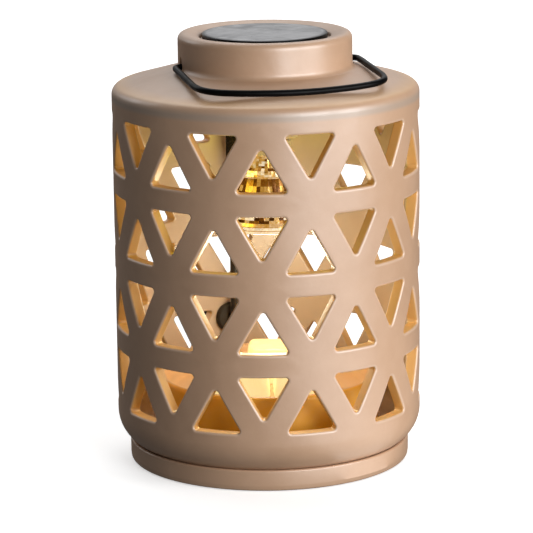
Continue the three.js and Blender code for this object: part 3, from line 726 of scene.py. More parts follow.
def reflector_material():
    g = Graph("reflector")
    tint = g.math("ADD", g.attr("facet"), g.range(g.noise(900, 2, 0.5), -0.07, 0.07, 0.3, 0.7), True)
    stops = [(0.0, lin(58, 30, 4)), (0.25, lin(112, 68, 12)), (0.45, lin(152, 110, 40)), (0.65, lin(200, 160, 82)), (0.85, lin(228, 213, 178)), (1.0, lin(250, 242, 222))]
    glow = g.ramp(tint, stops)
    n = g.bump(g.noise(300, 3, 0.5), 0.00006, 0.4)
    return g.set(base=glow, metal=0.6, rough=g.range(g.noise(90, 3), 0.12, 0.26, 0.3, 0.7), normal=n, emit=glow, power=0.5)


M_REFLECTOR = reflector_material()


def filament_material():
    g = Graph("capsule_glow")
    glow = g.mix(g.range(g.noise(300, 3), 0, 1, 0.3, 0.7), lin(255, 214, 150), lin(255, 236, 190))
    return g.set(base=lin(255, 240, 214), rough=0.1, trans=0.5, emit=glow, power=14.0)


M_CAPSULE = filament_material()


# ------------------------------------------------------------------ cords: routes repeated from the model, in millimetres
CORD_R = 2.8
CORD_Z = 59.0
CORD_A = [
    (0, 104, 59), (0, 110.6, 59), (0, 116.41, 58.29), (0, 121.87, 56.19), (0, 126.66, 52.84), (0, 130.5, 48.42), (0, 133.15, 43.21),
    (0, 134.47, 37.51), (0, 135.82, 24.65), (0.27, 136.81, 19.69), (1.06, 138.67, 15.04), (2.34, 141.32, 10.92), (4.06, 144.65, 7.51), (6.13, 148.51, 4.96),
    (8.46, 152.72, 3.38), (10.96, 157.09, 2.85), (12.84, 159.99, 2.85), (15.01, 162.67, 2.85), (17.46, 165.12, 2.85), (20.14, 167.29, 2.85), (23.04, 169.17, 2.92),
    (26.12, 170.74, 3.32), (29.34, 171.98, 4.08), (32.68, 172.87, 5.08), (36.09, 173.41, 5.78), (39.54, 173.6, 6.12), (41.65, 173.6, 6.15),
]
CORD_B = [
    (100.55, 173.6, 6.15), (101.6, 173.6, 6.15), (106.8, 173.19, 5.74), (111.86, 171.96, 4.5), (116.67, 169.96, 3.26), (121.11, 167.22, 2.85), (125.03, 163.61, 2.85),
    (128.06, 159.23, 2.85), (130.04, 154.28, 2.85), (130.89, 149.02, 2.85), (130.56, 143.71, 2.85), (129.06, 138.59, 2.85), (126.47, 133.94, 2.85), (122.92, 129.97, 2.85),
    (109.53, 118, 2.85), (96.15, 106.03, 2.85), (93.99, 103.92, 2.85), (92.02, 101.62, 2.85),
]
CORD_C = [
    (26.86, 89.34, 2.85), (24.65, 90.54, 2.87), (22.35, 91.57, 3.04), (19.97, 92.42, 3.41), (17.54, 93.08, 3.97), (15.07, 93.56, 4.72), (12.57, 93.85, 5.62),
    (10.05, 93.95, 6.38), (5.74, 93.95, 7.22), (1.43, 93.95, 7.5), (-3.1, 93.95, 7.5),
]
COIL_X, COIL_Y = 50.0, 118.0


def keyed(keys, x):
    """A value held between keys and eased from one to the next; keys are (x, value) with x falling."""
    if x >= keys[0][0]:
        return keys[0][1]
    for (a, va), (b, vb) in zip(keys, keys[1:]):
        if x >= b:
            t = (a - x) / (a - b)
            return va + (vb - va) * t * t * (3 - 2 * t)
    return keys[-1][1]


R_KEYS = [(-45, 42.35), (-115, 36.65), (-515, 36.65), (-635, 31.0), (-875, 31.0), (-995, 25.35), (-1530, 25.35),
          (-1650, 31.0), (-1890, 31.0), (-2010, 36.65), (-2285, 36.65)]
Z_KEYS = [(-12, 2.85), (-78, 14.15), (-218, 14.15), (-278, 8.5), (-1210, 8.5), (-1315, 2.85), (-2285, 2.85)]


def coil_point(a):
    if a > -45:  # meets the lead's own slope
        t = (-21.3 - a) / 23.7
        t = max(t, 0.0)
        r = 45.1 + (-0.24 * 23.7) * (t - 2 * t * t + t ** 3) + (42.35 - 45.1) * (3 * t * t - 2 * t ** 3)
    else:
        r = keyed(R_KEYS, a)
    z = keyed(Z_KEYS, a)
    return (COIL_X + r * math.cos(a * D2R), COIL_Y + r * math.sin(a * D2R), z)


route_a, len_a = resample(catmull(CORD_A, 1.5), 2.4)
lead_b = [Vector(p) for p in CORD_B[:-1]]
lead_b[-1].z = 2.85
turns = [Vector(coil_point(a)) for a in list(np.arange(-21.3, -2280.0, -9.0)) + [-2285.0]]
route_b, len_b = resample(catmull(lead_b + turns + [Vector(p) for p in CORD_C], 2.0), 2.4)

v, f = tube(route_a, CORD_R, 14)
cord_switch = make("supply_cord", v, f, None, M_CORD, ("cord_run",))
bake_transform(cord_switch)
v, f = tube(route_b, CORD_R, 14)
cord_plug = make("coiled_cord", v, f, "base", M_CORD, ("cord_lead", "cord_coil", "cord_tail"))


# ------------------------------------------------------------------ lantern body
BODY_R, WALL = 82.5, 6.5
LINE0_Z, BAND_H, STRUT_H, APEX_OFF, POCKET_HALF = 197.45, 42.64, 12.44, 12.47, 13.75
CORNER_R, OUT_F, IN_F = 1.5, 1.3, 0.8
FOOT_C, FOOT_R = (63.5, 27.6), 19.0
SLOPE = math.tan(15.5 * D2R)
EDGE_R, EDGE_Z = 77.5 + 5 * math.cos(74.5 * D2R), 201 + 5 * math.sin(74.5 * D2R)
PIN_Z = 216.5


def shoulder_z(r):
    return EDGE_Z + (EDGE_R - r) * SLOPE


def inner_shoulder_z(r):
    return shoulder_z(r) - WALL / math.cos(15.5 * D2R)


def outer_r(z):
    return BODY_R if z >= FOOT_C[1] else FOOT_C[0] + math.sqrt(FOOT_R ** 2 - (FOOT_C[1] - z) ** 2)


def inner_r(z):
    if z >= 197:
        return 76 - (z - 197) * 0.55
    return BODY_R - WALL if z >= FOOT_C[1] else FOOT_C[0] + math.sqrt(12.5 ** 2 - (FOOT_C[1] - z) ** 2)


ARC_N, STRAIGHT_N = 3, 10
SIDE_N = 2 * ARC_N + STRAIGHT_N
FRACT = [0, 0.055, 0.11] + [0.165 + 0.67 * k / STRAIGHT_N for k in range(STRAIGHT_N + 1)] + [0.89, 0.945, 1]


def outline(corners, offset):
    """A rounded triangle in (s, z), 3 * SIDE_N points from the middle of corner 0's round."""
    V = [Vector(c) for c in corners]
    mid = (V[0] + V[1] + V[2]) / 3
    centres, bis, normals = [], [], []
    for i in range(3):
        a, b, c = V[i - 1], V[i], V[(i + 1) % 3]
        u, w = (a - b).normalized(), (c - b).normalized()
        half = u.angle(w) / 2
        inward = (u + w).normalized()
        centres.append(b + inward * (CORNER_R / math.sin(half)))
        bis.append(-inward)
        e = (c - b).normalized()
        n = Vector((e.y, -e.x))
        if n.dot(mid - b) > 0:
            n = -n
        normals.append(n)
    R = CORNER_R + offset

    def turn(p, q, t):
        ang = p.angle(q)
        s = 1 if p.x * q.y - p.y * q.x > 0 else -1
        w = s * ang * t
        return Vector((p.x * math.cos(w) - p.y * math.sin(w), p.x * math.sin(w) + p.y * math.cos(w)))

    pts = []
    for i in range(3):
        j = (i + 1) % 3
        for k in range(ARC_N + 1):
            pts.append(centres[i] + turn(bis[i], normals[i], k / ARC_N) * R)
        a, b = centres[i] + normals[i] * R, centres[j] + normals[i] * R
        for k in range(1, STRAIGHT_N + 1):
            pts.append(a.lerp(b, k / STRAIGHT_N))
        for k in range(1, ARC_N):
            pts.append(centres[j] + turn(normals[i], bis[j], k / ARC_N) * R)
    return pts


def build_lantern():
    verts, faces, rim_light_and_shade = [], [], []
    shared = {}

    def vert(p, e=0.0):
        verts.append(p)
        rim_light_and_shade.append(e)
        return len(verts) - 1

    def border(side, deg, z):
        key = (side, round((deg % 360) * 100) % 36000, round(z * 100))
        if key not in shared:
            r = outer_r(z) if side == "o" else inner_r(z)
            shared[key] = vert((r * math.cos(deg * D2R), r * math.sin(deg * D2R), z))
        return shared[key]

    def join(a, b):
        n = len(a)
        for k in range(n):
            faces.append((a[k], a[(k + 1) % n], b[(k + 1) % n], b[k]))

    for band in range(1, 5):
        zu, zl = LINE0_Z - (band - 1) * BAND_H, LINE0_Z - band * BAND_H
        for j in range(20):
            up = (j % 2 == 0) if band % 2 == 1 else (j % 2 == 1)
            mid = 18.0 * j
            w = POCKET_HALF
            if up:
                cell = [(-18, zl), (18, zl), (0, zu)]
                tri = [(-w, zl + STRUT_H / 2), (w, zl + STRUT_H / 2), (0, zu - APEX_OFF)]
            else:
                cell = [(-18, zu), (0, zl), (18, zu)]
                tri = [(-w, zu - STRUT_H / 2), (0, zl + APEX_OFF), (w, zu - STRUT_H / 2)]
            edge_pts = []
            for i in range(3):
                a, b = cell[i], cell[(i + 1) % 3]
                for t in FRACT[:-1]:
                    edge_pts.append((a[0] + (b[0] - a[0]) * t, a[1] + (b[1] - a[1]) * t))

            def on(deg, z, side):
                r = outer_r(z) if side == "o" else inner_r(z)
                return (r * math.cos((mid + deg) * D2R), r * math.sin((mid + deg) * D2R), z)

            def at(s, z, rho):
                q = math.sqrt(rho * rho - s * s)
                c, sn = math.cos(mid * D2R), math.sin(mid * D2R)
                return (c * q - sn * s, sn * q + c * s, z)

            bo = [border("o", mid + d, z) for d, z in edge_pts]
            bi = [border("i", mid + d, z) for d, z in edge_pts]
            if band == 4 and up and j == 5:
                cz = zl + (zu - zl) / 3
                for side, ring0 in (("o", bo), ("i", bi)):
                    last = ring0
                    for t in (0.25, 0.5, 0.75):
                        ring = [vert(on(d * (1 - t), z + (cz - z) * t, side)) for d, z in edge_pts]
                        join(last, ring)
                        last = ring
                    c = vert(on(0, cz, side))
                    for k in range(len(last)):
                        faces.append((last[k], last[(k + 1) % len(last)], c))
                continue
            last = bo

            def blend_ring(off, side, t):
                rr = BODY_R if side == "o" else BODY_R - WALL
                return [vert(on(d + (math.degrees(math.asin(p.x / rr)) - d) * t, z + (p.y - z) * t, side))
                        for (d, z), p in zip(edge_pts, outline(tri, off))]

            rings = [blend_ring(OUT_F + 0.5, "o", 0.5)]
            rings.append([vert(at(p.x, p.y, BODY_R)) for p in outline(tri, OUT_F + 0.5)])
            # the outer rounding of each pocket rim gets a painted highlight value, strongest mid-way round it; the
            # inner rounding a weaker one
            for k in range(6):
                a = 90 * D2R * k / 5
                off, depth = OUT_F * (1 - math.sin(a)), OUT_F * (1 - math.cos(a))
                rings.append([vert(at(p.x, p.y, BODY_R - depth), (0.35, 0.8, 1, 1, 0.8, 0.4)[k]) for p in outline(tri, off)])
            for depth in (2.6, 4.2):
                rings.append([vert(at(p.x, p.y, BODY_R - depth)) for p in outline(tri, 0)])
            for k in range(4):
                a = 90 * D2R * k / 3
                off, depth = IN_F * (1 - math.cos(a)), WALL - IN_F + IN_F * math.sin(a)
                rings.append([vert(at(p.x, p.y, BODY_R - depth), 0.5) for p in outline(tri, off)])
            rings.append([vert(at(p.x, p.y, BODY_R - WALL)) for p in outline(tri, IN_F + 0.5)])
            rings.append(blend_ring(IN_F + 0.5, "i", 0.5))
            for ring in rings:
                join(last, ring)
                last = ring
            join(last, bi)

    degs = []
    for m in range(0, 20, 2):
        degs += [18 * m + 36 * t for t in FRACT[:-1]]

    def sweep(profile, z_start):
        last = [border("o", d, z_start) for d in degs]
        for r, z, *e in profile:
            ring = [vert((r * math.cos(d * D2R), r * math.sin(d * D2R), z), e[0] if e else 0.0) for d in degs]
            join(last, ring)
            last = ring
        join(last, [border("i", d, z_start) for d in degs])

    foot_z = shoulder_z(49.9)
    top = [(82.5, 199.3), (82.5, 200.6)]
    top += [(77.5 + 5 * math.cos(a * D2R), 201 + 5 * math.sin(a * D2R)) for a in (0, 12, 25, 37, 50, 62, 74.5)]
    top += [(r, shoulder_z(r)) for r in (77.6, 72, 66, 60, 55, 51.2)]
    top += [(49.9 + 3.2 * math.cos(a * D2R), foot_z + 3.2 * math.cos(15.5 * D2R) + 3.2 * math.sin(a * D2R)) for a in (-105.5, -118, -131, -143, -155, -168, -180)]
    top += [(46.7, 219.4), (46.7, 224), (46.7, 229.1)]
    top += [(43.3 + 3.4 * math.cos(a * D2R), 229.8 + 3.4 * math.sin(a * D2R)) for a in (0, 15, 30, 45, 60, 75, 90)]
    rim = rounded([(43.3, 233.2), (41.6, 233.12, 6), (38.2, 232.25, 9), (35.5, 231.25, 0.9), (35.0, 230.3, 0.5), (35.0, 229.2)], 7)
    top += rim[1:]
    top += rounded([(35.0, 229.2), (27.0, 229.2, 0.5), (27.0, 223.5, 0.5), (40.2, 223.5, 1.5), (40.2, inner_shoulder_z(40.2), 2.5), (73.2, inner_shoulder_z(73.2), 4.5), (75.85, 197.6)], 5)[1:-1]
    top = [top[0]] + [q for p, q in zip(top, top[1:]) if (Vector(p[:2]) - Vector(q[:2])).length > 0.05]
    sweep(top, LINE0_Z)
    low = [(FOOT_C[0] + FOOT_R * math.cos(a * D2R), FOOT_C[1] + FOOT_R * math.sin(a * D2R)) for a in range(-8, -85, -7)]
    low += rounded([low[-1], (63.0, 8.6, 0.9), (63.0, 15.0, 0.6), (64.6, 15.15)], 4)[1:-1]
    low += [(FOOT_C[0] + 12.5 * math.cos(a * D2R), FOOT_C[1] + 12.5 * math.sin(a * D2R)) for a in range(-84, -7, 12)]
    sweep(low, LINE0_Z - 4 * BAND_H)
    inside = []
    for x, y, z in verts:
        r = math.hypot(x, y)
        if z > 199:
            deep = shoulder_z(r) - z if r > 46 else (229.4 - z if r < 36 else -1)
        else:
            deep = outer_r(max(z, 9)) - r
        inside.append(min(1.0, max(0.0, (deep - 1.2) / 2.4)))
    return verts, faces, {"rim_light_and_shade": rim_light_and_shade, "inside": inside}


def tear(offset):
    pts = [((2.35 + offset) * math.cos(a * D2R), (2.35 + offset) * math.sin(a * D2R)) for a in np.linspace(150, 390, 19)]
    pts += [((1.3 + offset) * math.cos(a * D2R), 3.4 + (1.3 + offset) * math.sin(a * D2R)) for a in np.linspace(30, 150, 9)]
    return pts


v, f, at_ = build_lantern()
lantern = make("lantern_shell", v, f, "lantern", M_GLAZE, ("lantern_body",), sharp=None, attrs=at_)
cut = []
for s in (-1, 1):
    rings = []
    for x, off in ((34, 1.2), (39.6, 1.2), (40.3, 0.55), (41.0, 0.0), (45.3, 0.0), (45.9, 0.2), (46.4, 0.55), (46.9, 1.1), (50, 1.2)):
        rings.append([(s * x, y, PIN_Z + z) for y, z in tear(off)])
    cut.append(rings_mesh(rings))
cut.append(lathe([(0, 68), (5.1, 68), (5.1, 90), (0, 90)], 48, (0, 0, CORD_Z), "y"))
boolean(lantern, [raw("cutter", *merge(*cut))])
lantern.data.shade_smooth()
lantern.data.set_sharp_from_angle(angle=62 * D2R)
wn = lantern.modifiers.new("normals", "WEIGHTED_NORMAL")
wn.keep_sharp = True
wn.weight = 60


# ------------------------------------------------------------------ base, feet, dish, wax
def saucer(z):
    return FOOT_C[0] + math.sqrt(19.6 ** 2 - (FOOT_C[1] - z) ** 2)


profile = rounded([(0, 2.0), (52, 2.0, 0.8), (53.5, 0.8, 0.8), (75.6, 0.3, 1.3), (76, 3.2, 1.6), (76, 11.5, 1.5), (saucer(11.0) + 0.2, 11.5, 0.5),
                   (saucer(10.2), 10.2, 2), (saucer(8.3), 8.3, 1.5), (50, 8.3), (25, 8.3), (0, 8.3)], 7)
v, f = lathe(profile, 160)
base = make("saucer_base", v, f, "base", M_GLAZE_BASE, ("base_plate",), sharp=None)
cut = []
for k in range(4):
    a = (45 + 90 * k) * D2R
    x, y = 63.5 * math.cos(a), 63.5 * math.sin(a)
    cut.append(lathe([(0, -2), (6.3, -2), (6.3, 2.3), (0, 2.3)], 40, (x, y, 0)))
    v, f = lathe(rounded([(0, 0), (6, 0, 0.5), (6, 2.0, 0.3), (0, 2.0)], 4), 48, (x, y, 0))
    make("pad_%d" % (k + 1), v, f, "base", M_PAD, ("foot_pad_%d" % (k + 1),))
boolean(base, [raw("cutter", *merge(*cut))])
base.data.shade_smooth()
base.data.set_sharp_from_angle(angle=50 * D2R)

profile = [(0, 32.3)] + rounded([(0, 32.3), (49, 32.3, 3), (53.6, 28.3, 3), (53, 8.6, 1.2), (57.2, 8.6, 1.2), (59, 10.1, 2), (60.4, 30.3, 20), (61.2, 44.5)], 7)[1:]
profile += [(58.7 + 2.5 * math.cos(a * D2R), 44.5 + 2.5 * math.sin(a * D2R)) for a in range(15, 166, 15)]
profile += rounded([(56.2, 44.3), (55.7, 42), (54.3, 39.2, 2.5), (50.5, 37.8, 4), (30, 37.8), (0, 37.8)], 7)
v, f = lathe(profile, 144)
# inside marks the dish's inner surface, which keeps the plain glaze; the rest carries the painted amber lamplight
make("dish", v, f, "dish", M_DISH_PAINTED_LAMPLIGHT, ("melting_dish",), sharp=None,
     attrs={"inside": [1.0 if z > 37.2 and math.hypot(x, y) < 59.4 else 0.0 for x, y, z in v]})


def wax_block(cx, cy, deg, seed, h):
    bottom, top, z0 = 14.8, 12.6, 38.1
    rng = np.random.default_rng(seed)
    ph = rng.uniform(0, 6.28, 6)
    rings = []

    def ring(z, half, rad):
        pts = []
        for qx, qy, a0 in ((1, 1, 0), (-1, 1, 90), (-1, -1, 180), (1, -1, 270)):
            for k in range(7):
                a = (a0 + 15 * k) * D2R
                pts.append(((half - rad) * qx + rad * math.cos(a), (half - rad) * qy + rad * math.sin(a)))
            nxt = (a0 + 90) % 360
            ex, ey = {0: (-1, 1), 90: (-1, -1), 180: (1, -1), 270: (1, 1)}[a0]
            a = pts[-1]
            b = ((half - rad) * ex + rad * math.cos(nxt * D2R), (half - rad) * ey + rad * math.sin(nxt * D2R))
            for k in range(1, 7):
                pts.append((a[0] + (b[0] - a[0]) * k / 7, a[1] + (b[1] - a[1]) * k / 7))
        out = []
        for x, y in pts:
            w = 0.14 * math.sin(0.45 * x + ph[0] + 0.2 * z) + 0.12 * math.sin(0.5 * y + ph[1] - 0.25 * z)
            n = Vector((x, y)).normalized() if abs(x) + abs(y) > 1e-6 else Vector((0, 0))
            out.append((x + n.x * w * min(1, half / 8), y + n.y * w * min(1, half / 8), z))
        return out

    for t in (6, 10, 13.4):
        rings.append(ring(z0, t, 3.2))
    for a in (20, 45, 70, 90):
        rings.append(ring(z0 + 1.0 - math.cos(a * D2R), bottom - 1.0 + math.sin(a * D2R), 3.6))
    for t in (0.15, 0.3, 0.45, 0.6, 0.75, 0.87):
        rings.append(ring(z0 + h * t, bottom + (top - bottom) * t, 3.6))
    R = 2.4
    for a in (0, 18, 36, 54, 72, 90):
        rings.append(ring(z0 + h - R + R * math.sin(a * D2R), top - R + R * math.cos(a * D2R), max(1.2, 3.6 - R * (1 - math.cos(a * D2R)) * 0.5)))
    for half in (9.4, 8.2, 6.4, 4.4, 2.4):
        rings.append(ring(z0 + h - 0.5 * (1 - (half / 10.2) ** 2), half, min(3.0, half * 0.6)))
    v, f = rings_mesh(rings)
    c, s = math.cos(deg * D2R), math.sin(deg * D2R)
    return [(cx + x * c - y * s, cy + x * s + y * c, z) for x, y, z in v], f


for k, (x, y, deg, h) in enumerate([(-17.6, -9.7, -16.3, 17.8), (12.6, -18.5, -15.0, 17.8), (6.0, 14.9, -17.5, 19.2)]):
    v, f = wax_block(x, y, deg, 11 + k, h)
    make("wax_cube_%d" % (k + 1), v, f, "dish", M_WAX, ("wax_melt_%d" % (k + 1),), sharp=None)


# ------------------------------------------------------------------ cap and what hangs from it
profile = [(0, 229.5), (20, 229.5)] + rounded([(20, 229.5), (33.1, 229.5, 0.4), (33.6, 230.3, 0.5), (33.6, 232.7, 0.7), (31.0, 233.0)], 6)[1:] + [(24, 233.05), (16, 233.1), (8, 233.15), (0, 233.18)]
v, f = lathe(profile, 128)
# the rim beyond 32 mm is marked for the painted shade on the disc's edge
make("cap_disc", v, f, "lantern", M_CAP, ("cap_plate",), sharp=None,
     attrs={"rim_light_and_shade": [1.0 if math.hypot(x, y) > 32.0 else 0.0 for x, y, z in v]})

thread = [(0, 206.5), (2.3, 206.5)]
z = 207.0
while z < 227.6:
    thread += [(2.95, z), (2.55, z + 0.5)]
    z += 1.0
thread += [(3.0, 228.2), (3.0, 228.9), (0, 228.9)]
v, f = lathe(thread, 36)
make("stud", v, f, "lantern", M_ZINC, ("cap_stud",), sharp=30)


def hex_nut(name, z0, z1, node):
    def flat(a, top=9.0):
        return min(top, 5.0 / math.cos((a + math.pi / 6) % (math.pi / 3) - math.pi / 6))

    n = 72
    rings = [(z0, 5.3, None), (z0 + 0.45, 9.0, None), (z1 - 0.45, 9.0, None), (z1, 5.3, None),
             (z1, None, 3.7), (z1 - 0.5, None, 3.35), (z0 + 0.5, None, 3.35), (z0, None, 3.7)]
    v, f = [], []
    for z, top, bore in rings:
        for k in range(n):
            a = 2 * math.pi * k / n
            r = bore or flat(a, top)
            v.append((r * math.cos(a), r * math.sin(a), z))
    for i in range(len(rings)):
        j = (i + 1) % len(rings)
        for k in range(n):
            f.append((i * n + k, i * n + (k + 1) % n, j * n + (k + 1) % n, j * n + k))
    make(name, v, f, "lantern", M_ZINC, (node,), sharp=30)


hex_nut("upper_nut", 215.9, 220.9, "clamp_nut")
hex_nut("lower_nut", 209.4, 213.8, "bracket_nut")

# porcelain lampholder with its recess, two turn slots and wire pockets
v, f = loft_box(rect(32, 24, 5.5, 7), edge_levels(176, 194, 1.4, 5))
holder = make("socket_body", v, f, "lantern", M_PORCELAIN, ("lampholder",))
cut = [lathe([(0, 174), (13.6, 174), (12.4, 176.9), (12.4, 180), (0, 180)], 56)]
for at0 in (0, 180):
    r0, r1, a0, a1 = 2.1, 7.9, at0 - 71, at0 + 36
    loop = [(r1 * math.cos(a * D2R), r1 * math.sin(a * D2R)) for a in np.linspace(a0, a1, 15)]
    loop += [(r0 * math.cos(a * D2R), r0 * math.sin(a * D2R)) for a in np.linspace(a1, a0, 9)]
    cut.append(rings_mesh([[(x, y, h) for x, y in loop] for h in (179, 188.2)]))
for s in (-1, 1):
    cut.append(rings_mesh([[(s * 5.5 + x, y, h) for x, y in rect(5.8, 6.4, 0.8, 3)] for h in (187.4, 196)]))
    cut.append(lathe([(0, 12.4), (1.8, 12.4), (1.8, 20), (0, 20)] if s > 0 else [(0, -20), (1.8, -20), (1.8, -12.4), (0, -12.4)], 28, (0, 0, 185), "x"))
# the cutters that meet each other are taken one by one
for c in cut:
    boolean(holder, [raw("cutter", *c)])
holder.data.set_sharp_from_angle(angle=35 * D2R)

v, f = loft_box(rect(18, 13, 1.6, 4, 0, 16), edge_levels(201.6, 213.8, 0.9, 4))
block = make("wire_block", v, f, "lantern", M_PORCELAIN, ("terminal_block",))
boolean(block, [raw("cutter", *merge(*[lathe([(0, 200), (2.5, 200), (2.3, 202.6), (0, 202.6)], 32, (s * 4.6, 15.5, 0)) for s in (-1, 1)]))])
block.data.set_sharp_from_angle(angle=35 * D2R)


def screw(name, r, z0, z1, centre, axis, body, mat, node, shank=None, head_up=False):
    """A turned head, with its shank when one is given; slot_cut cuts the slot across it."""
    prof = [(0, z0), (r - 0.35, z0), (r, z0 + 0.3), (r, z1 - 0.2), (r - 0.2, z1)]
    if head_up:
        prof = [(0, z0), (r - 0.2, z0), (r, z0 + 0.2), (r, z1 - 0.45), (r - 0.5, z1)]
    if shank:
        sr, s1 = shank
        if s1 > z1:
            prof += [(sr, z1), (sr, s1), (0, s1)]
        else:
            prof = [(0, s1), (sr, s1), (sr, z0)] + prof[1:] + [(0, z1)]
    else:
        prof += [(0, z1)]
    v, f = lathe(prof, 36, centre, axis)
    ob = make(name, v, f, body, mat, (node,), sharp=32)
    return ob


def slot_cut(ob, lo, hi):
    pts = [[(x, y, z) for x, y in ((lo[0], lo[1]), (hi[0], lo[1]), (hi[0], hi[1]), (lo[0], hi[1]))] for z in (lo[2], hi[2])]
    boolean(ob, [raw("cutter", *rings_mesh(pts))])
    ob.data.set_sharp_from_angle(angle=32 * D2R)


for s, side in ((-1, "left"), (1, "right")):
    ob = screw("block_screw_" + side, 1.9, 199.7, 201.3, (s * 4.6, 15.5, 0), "z", "lantern", M_BRASS, "terminal_screw_" + side)
    slot_cut(ob, (s * 4.6 - 3, 15.1, 198), (s * 4.6 + 3, 15.9, 200.3))
    if s > 0:
        ob = screw("strap_screw_" + side, 2.7, 17.9, 19.4, (0, 0, 185), "x", "lantern", M_ZINC, "holder_screw_" + side, (1.45, 12.8), True)
        slot_cut(ob, (18.7, -0.4, 181), (21, 0.4, 189))
    else:
        ob = screw("strap_screw_" + side, 2.7, -19.4, -17.9, (0, 0, 185), "x", "lantern", M_ZINC, "holder_screw_" + side, (1.45, -12.8))
        slot_cut(ob, (-21, -0.4, 181), (-18.7, 0.4, 189))
    pts = catmull([(s * 5.5, 0.4, 193.9), (s * 5.5, 0.6, 197.5), (s * 5.5, 3.4, 203.2), (s * 5, 9.2, 205)], 0.7)
    v, f = tube(pts, 1.15, 16)
    make("wire_" + side, v, f, "lantern", M_LEAD_WHITE if s < 0 else M_LEAD_BLACK, ("lead_" + side,))


# ------------------------------------------------------------------ bulb
# each band: the height and radius of its upper edge, and the kind of its facets
BANDS = [(25.0, 129.0, "rim"), (25.0, 129.4, "line"), (25.0, 131.0, "rim"), (24.9, 131.4, "line"), (23.7, 133.0, "gold"), (23.3, 134.6, "check"), (22.9, 136.2, "check"),
         (21.6, 140.6, "panel"), (20.3, 145.0, "panel"), (19.0, 149.2, "panel"), (17.9, 152.2, "column"), (17.1, 154.4, "brown"), (16.4, 156.0, "brown"),
         (17.0, 157.2, "gold"), (16.9, 158.2, "bright"), (16.75, 159.2, "bright"), (16.6, 160.2, "bright"), (14.2, 161.4, "mosaic"), (13.8, 162.6, "mosaic"),
         (13.5, 163.8, "mosaic"), (13.2, 165.0, "mosaic"), (12.85, 166.3, "mosaic"), (12.5, 167.5, "mosaic")]
COLS = 54
shell_v, shell_f, tints = [], [], []
rng = np.random.default_rng(5)
inner = rounded([(6.2, 167.5), (6.2, 165, 0.8), (11.4, 162, 2), (14.2, 155.2, 4), (17.4, 147.6, 6), (20.4, 138.6, 6), (22.0, 131.8, 1), (23.4, 130.8, 0.5), (23.4, 127.4)], 4)
rim_out = rounded([(23.4, 127.4), (25.0, 127.4, 0.5), (25.0, 131.4)], 4)[:-1]
loops = [(r, z) for r, z in rim_out] + [(r, z) for r, z, _ in BANDS] + inner[:-1]
n_rim = len(rim_out)
for i, (r, z) in enumerate(loops):
    for k in range(COLS * 2):
        a = math.pi * k / COLS
        rr = r
        if n_rim + 4 < i < n_rim + len(BANDS) - 1 and k % 2 == 1:
            rr = r * math.cos(math.pi / COLS) + 0.12  # pillowed facets
        shell_v.append((rr * math.cos(a), rr * math.sin(a), z))
N2 = COLS * 2
KIND = ["rim"] * n_rim + [kind for _, _, kind in BANDS]


def facet_tint(kind, pick, pick2):
    if kind == "rim":
        return 0.9 + 0.05 * pick
    if kind == "line":
        return 0.5 + 0.1 * pick
    if kind == "gold":
        return 0.62 + 0.2 * pick
    if kind == "check":
        return (0.02, 0.98, 0.3, 0.05, 0.7, 0.15)[int(pick * 6) % 6]
    if kind == "panel":
        return 0.12 + 0.45 * pick
    if kind == "column":
        return 0.14 if pick > 0.62 else 0.5 + 0.2 * pick2
    if kind == "brown":
        return 0.14 + 0.2 * pick + (0.25 if pick2 > 0.85 else 0.0)
    if kind == "bright":
        return 0.6 + 0.34 * pick - (0.28 if pick2 > 0.85 else 0.0)
    return (0.2 if pick2 > 0.78 else 0.95 if pick2 < 0.1 else 0.46 + 0.3 * pick)


for i in range(len(loops)):
    j = (i + 1) % len(loops)
    for k in range(N2):
        shell_f.append((i * N2 + k, i * N2 + (k + 1) % N2, j * N2 + (k + 1) % N2, j * N2 + k))
    kind = KIND[j] if j < len(KIND) and i < len(KIND) else None
    if kind in ("mosaic", "bright", "check"):
        picks = rng.random((COLS, 2))
    elif kind is not None:  # bands next to each other share their columns
        rng_c = np.random.default_rng(40 + {"panel": 1, "column": 2, "brown": 3}.get(kind, 4))
        picks = rng_c.random((COLS, 2))
    for k in range(N2):
        tints.append(0.7 if kind is None else facet_tint(kind, *picks[((k + 1) // 2) % COLS]))
me = bpy.data.meshes.new("mirror_shell")
me.from_pydata([tuple(Vector(p) * MM) for p in shell_v], [], shell_f)
a = me.attributes.new("facet", "FLOAT", "FACE")
a.data.foreach_set("value", np.array(tints, np.float32))
bm = bmesh.new()
bm.from_mesh(me)
bmesh.ops.recalc_face_normals(bm, faces=bm.faces)
if bm.calc_volume(signed=True) < 0:
    bmesh.ops.reverse_faces(bm, faces=bm.faces)
bm.to_mesh(me)
bm.free()
finish_mesh("mirror_shell", me, "bulb", M_REFLECTOR, ("bulb_reflector",), sharp=9)

v, f = lathe([(0, 127.9), (8, 127.9), (16, 127.9)] + rounded([(16, 127.9), (23.0, 127.9, 0.5), (23.0, 130.4, 0.5), (16, 130.4)], 4)[1:] + [(8, 130.4), (0, 130.4)], 72)
make("front_lens", v, f, "bulb", M_FRONT, ("bulb_front_glass",))
v, f = lathe([(0, 143)] + rounded([(0, 143), (2.4, 143.2, 1.5), (4.2, 146.5, 2), (4.2, 156, 2), (3.2, 159.5, 1), (4.6, 160.6, 0.5), (4.6, 167, 0.4), (0, 167)], 5)[1:-1] + [(0, 167)], 40)
make("lamp_capsule", v, f, "bulb", M_CAPSULE, ("bulb_capsule",))
v, f = lathe([(0, 167.8)] + rounded([(0, 167.8), (12.5, 167.8, 0.4), (13.4, 170.5, 1.5), (13.4, 174.8, 0.8), (11.2, 175.6, 0.5), (11.2, 179.7, 0.8), (0, 179.7)], 5)[1:-1] + [(0, 179.7)], 64)
make("lamp_cap", v, f, "bulb", M_CERAMIC_CAP, ("bulb_base",))
